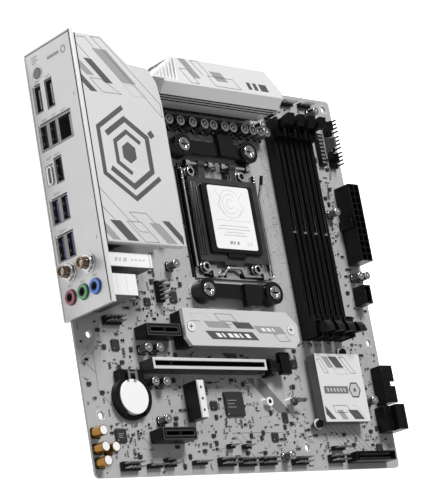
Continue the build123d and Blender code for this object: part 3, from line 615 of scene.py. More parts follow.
def antenna_details():
    pieces = Piece("white_plastic", "gold_plated_brass", "port_steel")
    tip = layout_box("antenna_connectors")[0][0]
    for z in ANTENNA_Z:
        place = (0, ANTENNA_T, z)
        pieces.ring(place, (0.72, 2.25), (tip + 4.9, tip + 1.9), "x", "white_plastic")
        for k in range(5):
            x = tip + 0.9 + k * 0.85
            pieces.ring(place, (3.1, 3.28), (x, x + 0.35), "x", "gold_plated_brass")
        pieces.ring(place, (4.0, 5.6), (SHIELD_X - 0.05, SHIELD_X - 0.6), "x", "port_steel", 32)
        pieces.ring(place, (4.3, 5.3), (SHIELD_X - 0.6, SHIELD_X - 2.3), "x", "port_steel", 6)
        pieces.ring(place, (3.16, 4.4), (SHIELD_X - 2.1, SHIELD_X - 2.6), "x", "port_steel", 28)
    pieces.make("antenna_details", slot="gold_plated_brass")


def shield_details():
    marks = Piece("ink_band", "ink_line", "port_steel")
    face = (SHIELD_X - 0.04, SHIELD_X + 0.02)

    def mark(t, z):
        marks.box(face, t, z, "ink_band")

    # generic function strip and ring near the top, legend bars above each port
    mark((7.8, 9.6), (16.4, 27.0))
    marks.ring((0, 8.6, 31.0), (1.4, 2.4), (SHIELD_X + 0.02, SHIELD_X - 0.04), "x", "ink_band")
    for k, length in enumerate((5.4, 4.2, 5.8, 3.6)):
        mark((3.2 + 1.25 * k, 3.8 + 1.25 * k), (2.6, 2.6 + length))
    for t, z, length in (
            (18.2, 2.2, 3.6), (17.8, 12.0, 4.6), (41.2, 3.4, 5.4), (41.2, 12.4, 4.2),
            (41.2, 20.8, 4.6), (63.6, 2.6, 4.4), (63.6, 9.6, 5.0), (85.0, 4.0, 5.8),
            (106.6, 4.0, 5.8), (138.0, 4.2, 4.4), (138.6, 15.0, 4.2), (138.2, 25.6, 4.6),
            (125.8, 13.6, 6.2)):
        mark((t, t + 0.45), (z, z + length))
        mark((t + 0.9, t + 1.2), (z + 0.4, z + length * 0.7))
    for t in (36.3, 119.3):
        marks.lathe((SHIELD_X, t, 33.2), [(1.35, 0.1), (1.35, -0.1), (1.0, -0.35), (0.3, -0.4)],
                    "x", "port_steel")
        marks.lathe((SHIELD_X, t, 33.2), [(0.45, -0.38), (0.4, -0.45)], "x", "ink_line", 12)
    # fixed rim round the pushbutton, and its dished cap, which slides in with it
    cap = Piece("grey_plastic")
    cap.lathe((SHIELD_X, BUTTON_T, BUTTON_Z),
              [(3.4, 0.35), (3.4, 0.0), (3.0, -0.3), (1.2, -0.1), (0.2, -0.05)],
              "x", "grey_plastic", 28)
    cap.make("button_cap", body="rear_button", slot="grey_plastic")
    marks.ring((0, BUTTON_T, BUTTON_Z), (3.5, 4.3), (SHIELD_X + 0.3, SHIELD_X - 0.12), "x",
               "port_steel", 32)
    marks.make("shield_marks", slot="shield_steel")
    # dark seams where the panel folds over and meets the cover
    seams = Piece("black_and_painted_shade", "ink_line")
    face = (SHIELD_X - 0.03, SHIELD_X + 0.1)
    seams.box(face, (-0.4, 156.0), (37.4, 38.2), "black_and_painted_shade")
    seams.box(face, (0.1, 0.7), (-2.4, 37.4), "black_and_painted_shade")
    seams.box(face, (0.8, 155.8), (-2.6, -2.2), "ink_line")
    seams.box((0.45, 1.45), (1.0, 122.2), (37.9, 38.03), "black_and_painted_shade")
    seams.box((-0.15, 0.35), (0.6, 122.0), (33.4, 37.2), "black_and_painted_shade")
    seams.make("shield_seams", slot="shield_steel")
    # plate and bright rim round the small reversible port
    rim = Piece("shield_steel", "port_steel", "black_and_painted_shade")
    rim.box((-2.0, -1.6), (67.8, 80.0), (0.4, 7.2), "shield_steel")
    outline = [(SMALL_PORT_T + side * (3.4 + 2.1 * math.sin(a)),
                SMALL_PORT_Z + 2.1 * math.cos(a) * side)
               for side in (1, -1) for a in (math.pi * k / 8 for k in range(9))]
    inner = [(SMALL_PORT_T + (t - SMALL_PORT_T) * 0.84, SMALL_PORT_Z + (z - SMALL_PORT_Z) * 0.62)
             for t, z in outline]
    rings = [[at(x, t, z) for t, z in path] for x, path in
             ((-1.7, outline), (SHIELD_X - 0.3, outline), (SHIELD_X - 0.3, inner), (-1.7, inner))]
    rim.solid(rings, "port_steel", loop=True)
    # dark sheet at the back of the small port's opening: painted shade
    rim.solid([[at(x, t, z) for t, z in inner] for x in (-1.55, -1.5)], "black_and_painted_shade")
    rim.make("small_port_rim", slot="port_steel")


def rear_panel():
    port_insides()
    audio_rings()
    antenna_details()
    shield_details()


# ---------------------------------------------------------------- printed patterns
INK = 0.03      # height of a printed layer
LINE = 0.32     # width of a fine printed line


def slant(x, t, width, drop, lean=1.0):
    """Corners of a slanted bar: level ends, sides falling to the right."""
    shift = drop * lean
    return [(x, t), (x + width, t), (x + width + shift, t + drop), (x + shift, t + drop)]


class Print(Piece):
    """Flat artwork on a level surface."""

    def __init__(self, z):
        super().__init__("ink_dark_and_painted_shadow", "ink_band", "ink_grey", "ink_light", "ink_line", "label",
                         "black_and_painted_shade")
        self.z = (z - 0.02, z + INK)

    def fill(self, outline, finish):
        self.plate(outline, self.z, finish)

    def frame_line(self, outline, finish="ink_line", width=LINE):
        self.strip(outline, width, self.z, finish, closed=True)

    def line(self, points, finish="ink_line", width=LINE):
        self.strip(points, width, self.z, finish)

    def bars(self, x, t, pitch, widths, drop, finish, lean=1.0):
        """A row of slanted bars, in place of lettering."""
        for k, width in enumerate(widths):
            self.fill(slant(x + pitch * k, t, width, drop, lean), finish)


def emblem(art, x, t, size):
    """Generic badge: nested open hexagons round a solid core."""
    def corner(radius, k):
        angle = math.radians(60 * k + 30)
        return (x + radius * 0.92 * math.cos(angle), t + radius * 1.08 * math.sin(angle))

    for radius, width, start, sides in ((1.0, 0.11, 0, 4), (0.74, 0.13, 3, 5), (0.46, 0.10, 1, 4)):
        path = [corner(size * radius, start + k) for k in range(sides + 1)]
        art.line(path, "ink_dark_and_painted_shadow", size * width)
    art.fill([corner(size * 0.24, k) for k in range(6)], "ink_dark_and_painted_shadow")
    art.line([corner(size * 0.84, 5), corner(size * 1.0, 5)], "ink_dark_and_painted_shadow", size * 0.16)


def cover_artwork():
    art = Print(top_of("io_cover"))
    art.frame_line([(12.6, 1.8), (19.2, 1.8), (56.8, 37.4), (56.8, 45.6)])
    art.fill(slant(12.0, 8.8, 10.2, 18.8), "ink_grey")
    art.frame_line(slant(31.4, 28.6, 9.6, 6.2), "ink_light")
    art.fill(slant(4.7, 15.6, 5.6, 13.4), "ink_dark_and_painted_shadow")
    art.frame_line([(7.4, 27.2), (15.4, 27.2), (28.6, 34.8), (15.2, 34.8)])
    art.fill([(1.5, 16.9), (10.8, 25.6), (5.4, 25.6), (1.5, 22.2)], "ink_grey")
    art.fill([(1.5, 25.6), (11.4, 35.2), (6.5, 35.2), (1.5, 30.4)], "ink_dark_and_painted_shadow")
    art.line([(1.5, 3.2), (8.0, 2.6), (13.6, 8.4)])
    art.line([(1.5, 7.4), (9.2, 15.0)])
    emblem(art, 27.4, 69.6, 25.0)
    art.line([(1.4, 91.8), (25.6, 115.8), (31.6, 115.8)])
    art.line([(1.4, 102.6), (9.0, 110.0)])
    art.fill([(1.6, 111.8), (11.2, 121.4), (5.4, 121.4), (1.6, 117.8)], "ink_grey")
    art.fill(slant(5.2, 110.2, 7.6, 11.2), "ink_dark_and_painted_shadow")
    art.frame_line(slant(17.4, 110.2, 10.2, 11.2))
    art.line([(26.4, 110.2), (20.2, 104.8), (32.2, 104.8), (38.0, 110.4)])
    art.fill(slant(33.4, 110.2, 7.6, 11.2), "ink_grey")
    art.fill([(43.2, 108.4), (48.4, 108.4), (57.0, 117.0), (57.0, 121.6), (56.0, 121.2)],
             "ink_dark_and_painted_shadow")
    art.make("cover_artwork", slot="silver_paint")


def heatsink_artwork():
    art = Print(top_of("vrm_heatsink_top"))
    art.fill(slant(84.2, 2.0, 5.8, 11.2), "ink_grey")
    art.frame_line(slant(84.6, 8.4, 6.2, 8.2))
    art.line([(103.4, 10.8), (94.2, 2.2), (100.2, 2.2), (108.4, 10.0)])
    art.fill(slant(108.6, 7.4, 9.2, 5.6), "ink_grey")
    art.frame_line(slant(107.0, 10.6, 20.6, 5.8))
    art.bars(138.2, 10.8, 5.2, (3.0, 3.0, 6.4), 4.4, "ink_dark_and_painted_shadow", 0.5)
    art.make("top_heatsink_artwork", slot="silver_paint")

    art = Print(top_of("m2_heatsink"))
    art.fill(slant(86.5, 157.2, 17.4, 3.8), "ink_grey")
    art.fill(slant(108.8, 157.2, 14.0, 3.8), "ink_dark_and_painted_shadow")
    art.fill(slant(86.6, 163.0, 37.6, 4.9), "ink_dark_and_painted_shadow")
    art.fill(slant(125.6, 159.0, 22.4, 4.5), "ink_grey")
    art.frame_line(slant(95.8, 152.6, 13.2, 4.2))
    art.line([(84.0, 157.4), (76.4, 157.4)])
    art.line([(80.2, 157.0), (76.2, 152.8), (89.4, 152.8), (93.6, 157.0)], "ink_light")
    art.line([(104.2, 159.0), (108.8, 159.0)])
    art.line([(145.0, 163.8), (141.8, 163.8), (145.8, 168.0), (154.6, 168.0), (151.4, 164.2)])
    art.make("m2_heatsink_artwork", slot="silver_paint")
    marks = Print(top_of("m2_heatsink") + INK)
    marks.bars(94.4, 164.2, 4.6, (3.2, 1.6, 3.2, 3.2, 1.6, 3.2), 2.4, "label")
    marks.bars(131.4, 160.2, 4.4, (2.8, 2.8, 1.4), 2.0, "label")
    marks.make("m2_heatsink_marks", slot="silver_paint")

    art = Print(top_of("chipset_heatsink"))
    art.frame_line(slant(177.6, 177.6, 3.0, 8.6, 0.6))
    art.fill(slant(181.6, 175.8, 5.0, 7.0, 0.7), "ink_grey")
    art.fill(slant(187.6, 175.8, 7.0, 7.0, 0.8), "ink_dark_and_painted_shadow")
    art.frame_line(slant(190.4, 183.4, 9.6, 3.4, 0.8), "ink_light")
    art.frame_line(slant(197.4, 176.2, 4.0, 10.0, 0.85))
    art.fill(rect((179.4, 200.4), (194.4, 199.0)), "ink_band")
    hexagon = arc(206.2, 196.7, 5.0, range(0, 360, 60))
    art.fill(hexagon, "ink_light")
    art.frame_line(hexagon, "ink_dark_and_painted_shadow", 0.8)
    art.fill([(177.4, 206.4), (185.4, 214.8), (181.0, 214.8), (177.4, 211.8)], "ink_dark_and_painted_shadow")
    art.line([(196.4, 210.8), (186.0, 210.8), (184.4, 206.4), (196.4, 206.4), (199.6, 210.0)])
    art.fill(slant(187.2, 209.2, 5.0, 5.8, 0.7), "ink_grey")
    art.fill(slant(196.8, 209.2, 8.6, 5.8, 0.9), "ink_dark_and_painted_shadow")
    art.line([(201.6, 206.4), (205.0, 206.4), (212.2, 214.6)], "ink_light")
    art.make("chipset_artwork", slot="silver_paint")
    marks = Print(top_of("chipset_heatsink") + INK)
    marks.bars(181.6, 195.6, 2.9, (1.5,) * 6, 2.2, "ink_light", 0.3)
    marks.fill(rect((205.2, 207.2), (195.7, 197.7)), "ink_dark_and_painted_shadow")
    marks.make("chipset_marks", slot="silver_paint")


def board_artwork():
    art = Print(0.0)
    art.fill(rect((95.4, 97.4), (58.0, 127.0)), "black_and_painted_shade")
    art.fill(rect((158.8, 159.4), (66.0, 124.0)), "black_and_painted_shade")
    art.fill(slant(124.6, 187.6, 11.4, 21.2), "ink_band")
    art.fill(slant(108.2, 172.6, 9.6, 4.6), "ink_dark_and_painted_shadow")
    art.fill(slant(160.4, 220.8, 5.6, 6.6), "ink_grey")
    art.line([(156.0, 221.2), (151.6, 214.6), (162.6, 214.6), (169.4, 221.4)])
    art.line([(147.2, 220.4), (106.0, 220.4), (121.0, 235.0)])
    art.line([(112.0, 220.4), (119.4, 227.8)])
    for k in range(6):
        x = 183.8 + 4.5 * k
        art.line([(x, 217.2), (x + 16.4, 233.6)])
    for k in range(5):
        art.line([(224.0 + 4.0 * k, 224.0 + k), (234.0 + 2.0 * k, 234.0 - k)])
    for path in (
            [(17.8, 158.2), (17.2, 166.8), (11.4, 173.4), (11.0, 195.8), (15.8, 200.6),
             (19.0, 203.6)],
            [(1.6, 176.8), (11.0, 185.6)], [(1.4, 187.8), (6.0, 192.0)],
            [(44.0, 228.4), (33.6, 218.0)], [(208.8, 60.2), (219.0, 60.2), (226.0, 67.2)],
            [(209.6, 84.0), (216.0, 84.0), (224.0, 92.0)], [(132.0, 146.6), (140.4, 138.2)]):
        art.line(path)
    # painted shadow: dark fill round the capacitor row where the heatsink and cover shade the
    # board, ending in printed slanted bars
    art.fill([(58.8, 24.0), (174.0, 24.0), (174.0, 29.0), (170.0, 34.6), (96.0, 34.6), (90.0, 40.6),
              (58.8, 40.6)], "ink_dark_and_painted_shadow")
    art.bars(98.0, 35.2, 8.4, (4.6,) * 9, 3.4, "ink_grey")
    art.make("board_artwork", slot="board_laminate")


def socket_label():
    """Blank cap label with a faint generic drawing and lines in place of text."""
    top = top_of("socket_cap")
    label = Piece("label", "ink_light", "ink_grey")
    corner = 1.6
    x0, x1, t0, t1 = 112.5, 146.5, 70.6, 110.4
    outline = []
    for cx, ct, start in ((x1 - corner, t0 + corner, 270), (x1 - corner, t1 - corner, 0),
                          (x0 + corner, t1 - corner, 90), (x0 + corner, t0 + corner, 180)):
        outline += arc(cx, ct, corner, [start + 22.5 * k for k in range(5)])
    label.plate(outline, (top - 0.02, top + 0.16), "label", 0.05)
    print_z = (top + 0.15, top + 0.18)
    faint = "ink_light"
    cx, ct = 129.5, 81.8
    for radius in (3.0, 6.2, 9.0):
        label.strip(arc(cx, ct, radius, range(20, 321, 20)), 0.28, print_z, faint)
    label.strip([(118.4, 74.0), (122.6, 78.4), (119.0, 83.0), (124.0, 88.6)], 0.28, print_z, faint)
    label.strip([(141.0, 73.8), (136.4, 78.6), (140.6, 84.4), (134.8, 89.8)], 0.28, print_z, faint)
    label.strip([(114.8, 92.4), (144.2, 92.4)], 0.22, print_z, faint)
    for t, left, right in ((95.6, 118.0, 141.0), (97.6, 116.4, 142.6), (99.6, 122.0, 137.0),
                           (101.4, 120.2, 138.8)):
        x = left
        while x < right:
            wide = 1.1 + 1.3 * ((x * 7.3) % 1.0)
            label.box((x, min(right, x + wide)), (t, t + 0.6), print_z, faint)
            x += wide + 0.5
    for k, wide in enumerate((2.2, 1.4, 1.8)):
        label.plate(slant(124.2 + 2.9 * k, 105.4, wide, 2.0, -0.3), print_z, "ink_grey")
    for x in (138.6, 141.4):
        label.strip([(x, 105.4), (x + 1.4, 107.4), (x - 0.4, 107.4)], 0.25, print_z, faint,
                    closed=True)
    label.make("socket_label", body="load_plate", slot="white_plastic")


def screw_recess_painted_shade():
    """Painted shade in the driver recesses of the visible screws, and dark rings of painted shade
    round the storage screw heads and on the socket screw heads.
    """
    marks = Piece("black_and_painted_shade")
    for node, reach, wide in (("cooler_bracket_screws", 2.5, 0.5),
                              ("m2_heatsink_screws", 1.6, 0.4)):
        for x, t, z in island_boxes(node):
            cx, ct, top = middle(x), middle(t), z[1]
            marks.box(about(cx, reach), about(ct, wide), (top - 1.1, top - 0.55), "black_and_painted_shade")
            marks.box(about(cx, wide), about(ct, reach), (top - 1.1, top - 0.55), "black_and_painted_shade")
            marks.lathe((cx, ct, 0), [(wide * 1.6, top - 1.0), (wide * 1.6, top - 0.5)],
                        "z", "black_and_painted_shade", 16)
    for x, t, z in island_boxes("m2_heatsink_screws"):
        marks.ring((middle(x), middle(t), 0), (3.02, 3.25), (11.9, 12.04), "z", "black_and_painted_shade", 32)
    for x, t, z in island_boxes("socket_screws"):
        cx, ct = middle(x), middle(t)
        marks.ring((cx, ct, 0), (1.3, 1.9), (z[1] - 0.1, z[1] + 0.05), "z", "black_and_painted_shade", 24)
        marks.lathe((cx, ct, 0), [(1.25, 4.1), (1.25, 4.3)], "z", "black_and_painted_shade", 12)
    marks.make("screw_recess_painted_shade", slot="spring_steel")


def heatsink_groove_painted_shade():
    """Painted shade: dark floors in the grooves of the top heatsink and of its left step, and a
    dark band low on its front face.
    """
    front = layout_box("vrm_heatsink_top")[1][1]
    grooves = Piece("black_and_painted_shade")
    for height in (23.8, 20.6, 17.4):
        grooves.box((71.5, 168.3), (front - 0.76, front - 0.1), (height - 1.58, height - 0.02),
                    "black_and_painted_shade")
    grooves.box((71.6, 168.2), (front - 0.05, front + 0.02), (5.2, 6.4), "black_and_painted_shade")
    for k in range(7):
        left = 63.6 + 2.7 * k
        grooves.box((left + 0.1, left + 1.4), (1.8, 15.2), (9.1, 9.3), "black_and_painted_shade")
    grooves.make("heatsink_groove_painted_shade", slot="silver_paint")


def module_marks():
    """Generic bars where the wireless module and jack block carry print."""
    marks = Print(top_of("wireless_module"))
    marks.bars(9.0, 129.6, 3.0, (2.0, 1.4, 2.4), 2.2, "ink_light", -0.3)
    for k in range(4):
        marks.fill(rect((20.0 + 2.8 * k, 21.8 + 2.8 * k), (130.2, 131.0)), "ink_light")
    marks.line([(33.6, 127.0), (33.6, 134.6)], "ink_dark_and_painted_shadow", 0.25)
    for x in (7.6, 14.4):
        marks.line([(x, 139.4), (x, 150.4)], "ink_light", 0.2)
    marks.make("module_marks", slot="white_plastic")


def artwork():
    socket_label()
    screw_recess_painted_shade()
    heatsink_groove_painted_shade()
    module_marks()
    cover_artwork()
    heatsink_artwork()
    board_artwork()


# ---------------------------------------------------------------- connectors
PIN_PITCH = 2.54
CELL_PITCH = 4.2    # of the power connectors
CONTACT_PITCH = 1.0
MEMORY_Z = 7.4      # top of the memory slots between their towers
RNG = random.Random(7)


def grid(box, pitch):
    """Centres of a pitch grid that fills an (x, t) box."""
    (x0, x1), (t0, t1) = box
    columns, rows = round((x1 - x0) / pitch), round((t1 - t0) / pitch)
    return [(middle((x0, x1)) + (i - (columns - 1) / 2) * pitch,
             middle((t0, t1)) + (j - (rows - 1) / 2) * pitch)
            for i in range(columns) for j in range(rows)]


def header_pins():
    """A square pin with a chamfered tip at each place of each header."""
    pins = Piece("solder", "black_plastic")
    for x, t, z in island_boxes("header_bases"):
        if abs(z[1] - 2.5) < 0.1 and z[0] > -0.1 and min(x[1] - x[0], t[1] - t[0]) < 5.3:
            for px, pt in grid((x, t), PIN_PITCH):
                pins.box(about(px, 0.32), about(pt, 0.32), (2.3, 8.5), "solder", 0.2)
                pins.box(about(px, 0.95), about(pt, 0.95), (2.4, 2.62), "black_plastic")
        elif z[1] > 8.5 and x[1] - x[0] > 30:
            inner = ((x[0] + 3, x[1] - 3), (t[0] + 0.6, t[1] - 0.6))
            for px, pt in grid(inner, PIN_PITCH):
                pins.box(about(px, 0.32), about(pt, 0.32), (1.6, 7.6), "solder", 0.2)
        elif z[1] < 3.3 and t[1] - t[0] > 15:
            for k in range(8):
                at_t = t[0] + 1.8 + k * 2.55
                pins.box((x[0] + 0.8, x[1] - 0.8), about(at_t, 0.6), (3.15, 3.3), "solder")
    pins.make("header_pins", slot="solder")


def card_contacts(contacts, x, t, z, along, skip=()):
    """A row of spring contacts down each side of a card groove."""
    row = t if along == "t" else x
    for k in range(int((row[1] - row[0]) / CONTACT_PITCH)):
        place = row[0] + (k + 0.5) * CONTACT_PITCH
        if any(low < place < high for low, high in skip):
            continue
        here = about(place, 0.28)
        for side in (-1, 1):
            centre = middle(x if along == "t" else t) + side * 0.72
            ranges = in_axes(about(centre, 0.12), here, along != "t")
            contacts.box(*ranges, z, "contact")


def slot_contacts():
    contacts = Piece("contact", "spring_steel")
    for i in range(1, 5):
        x, t, _ = layout_box(f"dimm_slot_{i}")
        card_contacts(contacts, x, (t[0] + 14, t[1] - 14), (3.4, 6.0), "t", [(95.0, 97.1)])
        contacts.box(about(middle(x), 1.2), (95.4, 96.6), about(MEMORY_Z, 0.1),
                     "spring_steel", 0.05)
    short_slots = sorted(island_boxes("pcie_x1_slots"), key=lambda box: box[1][0])
    for (x, t, _), key in zip(short_slots, (55.8, 55.0)):
        card_contacts(contacts, (x[0] + 2, x[1] - 2), t, (4.4, 8.0), "x",
                      [(key - 0.3, key + 2.0)])
    x, t, _ = layout_box("pcie_x16_slot")
    card_contacts(contacts, (x[0] + 2, 129.6), t, (4.4, 7.8), "x", [(56.2, 58.6)])
    contacts.make("slot_contacts", slot="gold_plated_brass")


def slot_ribs():
    """Moulded ribs and rails on the long plastic slots."""
    ribs = Piece("black_plastic")
    for i in range(1, 5):
        x, t, z = layout_box(f"dimm_slot_{i}")
        for side in (-1, 1):
            rail = middle(x) + side * 2.1
            for reach in ((t[0] + 13.4, 95.0), (97.2, t[1] - 13.4)):
                ribs.box(about(rail, 0.35), reach, (MEMORY_Z - 0.2, MEMORY_Z + 0.4), inset=0.2)
        for at_t in (t[0] + 12.4, t[1] - 12.4):
            ribs.box((x[0] + 0.6, x[1] - 0.6), about(at_t, 0.25), (z[1] - 0.4, z[1] + 0.5),
                     inset=0.2)
    x, t, (_, top) = layout_box("atx_power_connector")
    for k in range(-5, 6):
        ribs.box((x[1] - 9.4, x[1] - 0.2), about(middle(t) + k * CELL_PITCH, 0.18),
                 (top - 0.4, top + 0.12))
    x, t, (_, top) = layout_box("cpu_power_connector")
    for k in (-1, 0, 1):
        ribs.box(about(middle(x) + k * CELL_PITCH, 0.18), (t[0] + 0.2, t[1] - 0.2),
                 (top - 0.4, top + 0.12))
    ribs.make("slot_ribs", slot="black_plastic")


def slot_borders():
    """Raised grey rims on the short expansion slots."""
    rims = Piece("grey_plastic", "black_and_painted_shade")
    for x, t, z in island_boxes("pcie_x1_slots"):
        top = (z[1] - 0.05, z[1] + 0.06)
        for inset in (0.35, 2.0):
            outline = rect((x[0] + inset, x[1] - inset), (t[0] + inset, t[1] - inset))
            rims.strip(outline, 0.3, top, "grey_plastic", closed=True)
        for k in range(9):
            at_x = x[0] + 3.0 + k * 2.4
            for at_t in (t[0] + 1.2, t[1] - 1.2):
                rims.box((at_x, at_x + 1.2), about(at_t, 0.35), top, "black_and_painted_shade")
    rims.make("short_slot_rims", slot="black_plastic")


def fan_headers():
    """Back walls of the three fan headers at the right edge."""
    walls = Piece("black_plastic", "grey_plastic", "black_and_painted_shade")
    finishes = ("black_plastic", "grey_plastic", "black_plastic")
    for finish, t in zip(finishes, (20.3, 31.4, 42.4)):
        walls.box((233.2, 236.4), about(t, 5.0), (0.0, 2.6), finish, 0.2)
        walls.box((233.2, 234.9), about(t, 3.2), (2.4, 8.4), finish, 0.3)
        for k in range(4):
            at_t = t + (k - 1.5) * PIN_PITCH
            walls.box((237.3, 238.3), about(at_t, 0.42), (2.5, 8.52), "black_and_painted_shade", 0.1)
    walls.make("fan_header_walls", slot="black_plastic")


def socket_metalwork():
    """Hinge clip at the head of the socket, dark strips of painted shade in the gaps beside its
    rails, lever sleeve.
    """
    metal = Piece("black_and_painted_shade", "spring_steel")
    hinge_z = 4.4       # axis height of the load plate's hinge
    metal.box((124.0, 127.2), (55.4, 60.4), (hinge_z + 1.1, hinge_z + 1.9), "spring_steel", 0.15)
    metal.box((124.0, 127.2), (60.0, 60.6), (1.4, hinge_z + 1.9), "spring_steel", 0.1)
    # painted shade: dark strips in the gaps beside the rails
    for x in ((103.8, 109.6), (115.4, 118.4), (132.6, 135.2), (141.2, 149.6)):
        metal.box(x, (59.2, 64.6), (1.42, 1.55), "black_and_painted_shade")
    metal.box((98.9, 99.9), (62.0, 119.0), (1.42, 1.6), "black_and_painted_shade")
    metal.box((156.8, 157.3), (66.0, 118.0), (1.42, 1.6), "black_and_painted_shade")
    for x in ((103.8, 107.2), (119.6, 122.0), (133.0, 137.0), (143.6, 149.6)):
        metal.box(x, (123.4, 126.6), (1.42, 1.55), "black_and_painted_shade")
    metal.make("socket_metalwork", slot="spring_steel")
    sleeve = Piece("black_plastic")
    start, end = Vector((161.0, 66.4, 5.45)), Vector((161.0, 60.9, 7.2))
    along = (end - start).normalized()
    side = Vector((1, 0, 0))
    up = side.cross(along)
    rings = []
    for share, radius in ((0.0, 1.0), (0.04, 1.08), (0.96, 1.08), (1.0, 0.95)):
        centre = start.lerp(end, share)
        rings.append([at(*(centre + side * radius * math.cos(a) + up * radius * math.sin(a)))
                      for a in (math.pi * k / 8 for k in range(16))])
    sleeve.solid(rings, "black_plastic", smooth=True)
    sleeve.make("lever_sleeve", body="load_lever", slot="black_plastic")


def standoff_tops():
    """Bright rims on the storage standoffs with a disc of painted shade in each threaded hole, clip
    on the cell holder.
    """
    bits = Piece("label", "black_and_painted_shade", "spring_steel")
    for x, t, z in island_boxes("m2_standoffs"):
        if t[0] > 195.0:
            place = (middle(x), middle(t), 0)
            bits.ring(place, (1.25, (x[1] - x[0]) / 2 - 0.1), about(z[1], 0.05), "z",
                      "label", 28)
            bits.lathe(place, [(1.2, z[1] - 0.06), (1.2, z[1] + 0.01)], "z", "black_and_painted_shade", 16)
    top = top_of("battery_holder")
    for x, t, rise in (((28.4, 30.0), (185.6, 190.6), 0.35), ((33.4, 35.2), (185.6, 190.8), 0.35),
                       ((30.0, 33.4), (186.2, 187.2), 0.3)):
        bits.box(x, t, (top - 0.1, top + rise), "spring_steel", 0.1)
    bits.box((30.2, 33.2), (187.6, 188.6), about(top, 0.1), "black_and_painted_shade")
    bits.make("standoff_tops", slot="brass_standoff")


def edge_connector_details():
    """Contacts and ribs of the connectors along the right edge and of the storage sockets."""
    bits = Piece("black_plastic", "solder", "gold")
    # contacts inside the angled headers and the drive ports
    for k in range(10):
        at_t = 184.2 + k * 1.84
        for z in (4.0, 5.2):
            bits.box((236.6, 242.4), about(at_t, 0.3), about(z, 0.12), "solder")
    for z in (0.9, 7.2):
        for k in range(7):
            at_t = 210.5 + k * 1.27
            bits.box((237.8, 242.6), about(at_t, 0.3), (z + 2.45, z + 2.58), "gold")
    # raised ribs on the connector backs
    for at_t in (183.6, 189.0, 197.4, 202.0):
        bits.box((234.4, 243.8), about(at_t, 0.4), (8.9, 9.3), "black_plastic", 0.15)
    for at_t in (209.0, 219.6):
        bits.box((237.0, 243.8), about(at_t, 0.5), (13.1, 13.5), "black_plastic", 0.15)
    bits.box((241.6, 242.2), (206.4, 222.2), (13.1, 13.35), "black_plastic")
    for k in range(9):
        at_t = 129.6 + k * 1.15
        for x in ((234.6, 234.9), (235.9, 236.2)):
            bits.box(x, about(at_t, 0.25), (3.0, 7.6), "gold")
    # storage socket contacts
    for t0, x in ((150.8, 76.0), (192.9, 75.5)):
        for k in range(26):
            at_t = t0 + 0.6 + k * 0.76
            bits.box((x, x + 1.6), about(at_t, 0.17), (4.0, 4.14), "gold")
    bits.make("edge_connector_details", slot="black_plastic")


# ---------------------------------------------------------------- small parts
def capacitor_tops():
    """Bare top, printed half and black foot for each can."""
    tops = Piece("can_aluminium", "ink_dark_and_painted_shadow", "black_plastic", "label")
    for node in ("polymer_capacitors", "audio_capacitors"):
        for x, t, z in island_boxes(node):
            cx, ct, radius = middle(x), middle(t), (x[1] - x[0]) / 2
            gold = node == "audio_capacitors"
            tops.lathe((cx, ct, z[1]),
                       [(radius - 0.45, -0.05), (radius - 0.45, 0.06), (radius - 0.6, 0.1)], "z",
                       "label" if gold else "can_aluminium", 28)
            if not gold:
                # dark printed field that leaves a bright crescent of bare can
                field, shift = radius - 1.0, 0.22
                disc = arc(cx - shift, ct - shift, field, range(0, 360, 24))
                tops.plate(disc, (z[1] + 0.1, z[1] + 0.13), "ink_dark_and_painted_shadow")
                for row, reach in ((-0.7, 0.8), (0.1, 1.0)):
                    tops.box((cx - reach, cx + reach - 0.3), (ct + row, ct + row + 0.35),
                             (z[1] + 0.13, z[1] + 0.15), "label")
            foot = radius + 0.15
            tops.plate([(cx - foot, ct - foot + 0.8), (cx - foot + 0.8, ct - foot),
                        (cx + foot, ct - foot), (cx + foot, ct + foot),
                        (cx - foot + 0.8, ct + foot), (cx - foot, ct + foot - 0.8)],
                       (0.0, 0.9), "black_plastic", 0.1)
    tops.make("capacitor_details", slot="can_aluminium")


LEG_PITCH = 0.75


def chip_legs(bits, x, t):
    """Rows of legs along all four sides of a package."""
    for row, across, swap in ((x, t, False), (t, x, True)):
        count = int((row[1] - row[0]) / 0.8)
        for k in range(count):
            place = about(middle(row) + (k - (count - 1) / 2) * LEG_PITCH, 0.16)
            for edge, side in zip(across, (-1, 1)):
                ends = span(edge - side * 0.1, edge + side * 0.75)
                bits.box(*in_axes(place, ends, swap), (0.0, 0.28), "solder")


def chip_details():
    """Legs, orientation dot and a generic mark on each package."""
    bits = Piece("solder", "ink_grey")
    for x, t, z in island_boxes("ic_packages"):
        if z[1] > 2.0:
            continue
        chip_legs(bits, x, t)
        dot = min(0.45, (x[1] - x[0]) * 0.07)
        bits.lathe((x[0] + 1.0, t[1] - 1.0, z[1]), [(dot, -0.05), (dot, 0.02), (dot * 0.6, 0.03)],
                   "z", "ink_grey", 14)
        if x[1] - x[0] > 6:
            for k, share in enumerate((0.5, 0.36, 0.44)):
                at_t = t[0] + (t[1] - t[0]) * (0.34 + 0.14 * k)
                wide = (x[1] - x[0]) * share
                bits.box((x[0] + 1.6, x[0] + 1.6 + wide), (at_t, at_t + 0.35),
                         about(z[1], 0.02), "ink_grey")
    bits.make("chip_details", slot="solder")


HOLE_CLEARANCE = 4.2
VIAS, DASH_ROWS = 900, 520      # places tried; those on a part stay empty
# small parts keep clear of every low CAD solid but these
KEEP_OFF_SKIP = ("pcb", "io_cover", "io_shield", "socket_backplate", "solder_tails")
HOLES = [(33.02, 6.35), (165.1, 6.35), (237.49, 6.35), (10.16, 163.83), (165.1, 163.83),
         (237.49, 163.83), (10.16, 209.55), (165.1, 229.87)]


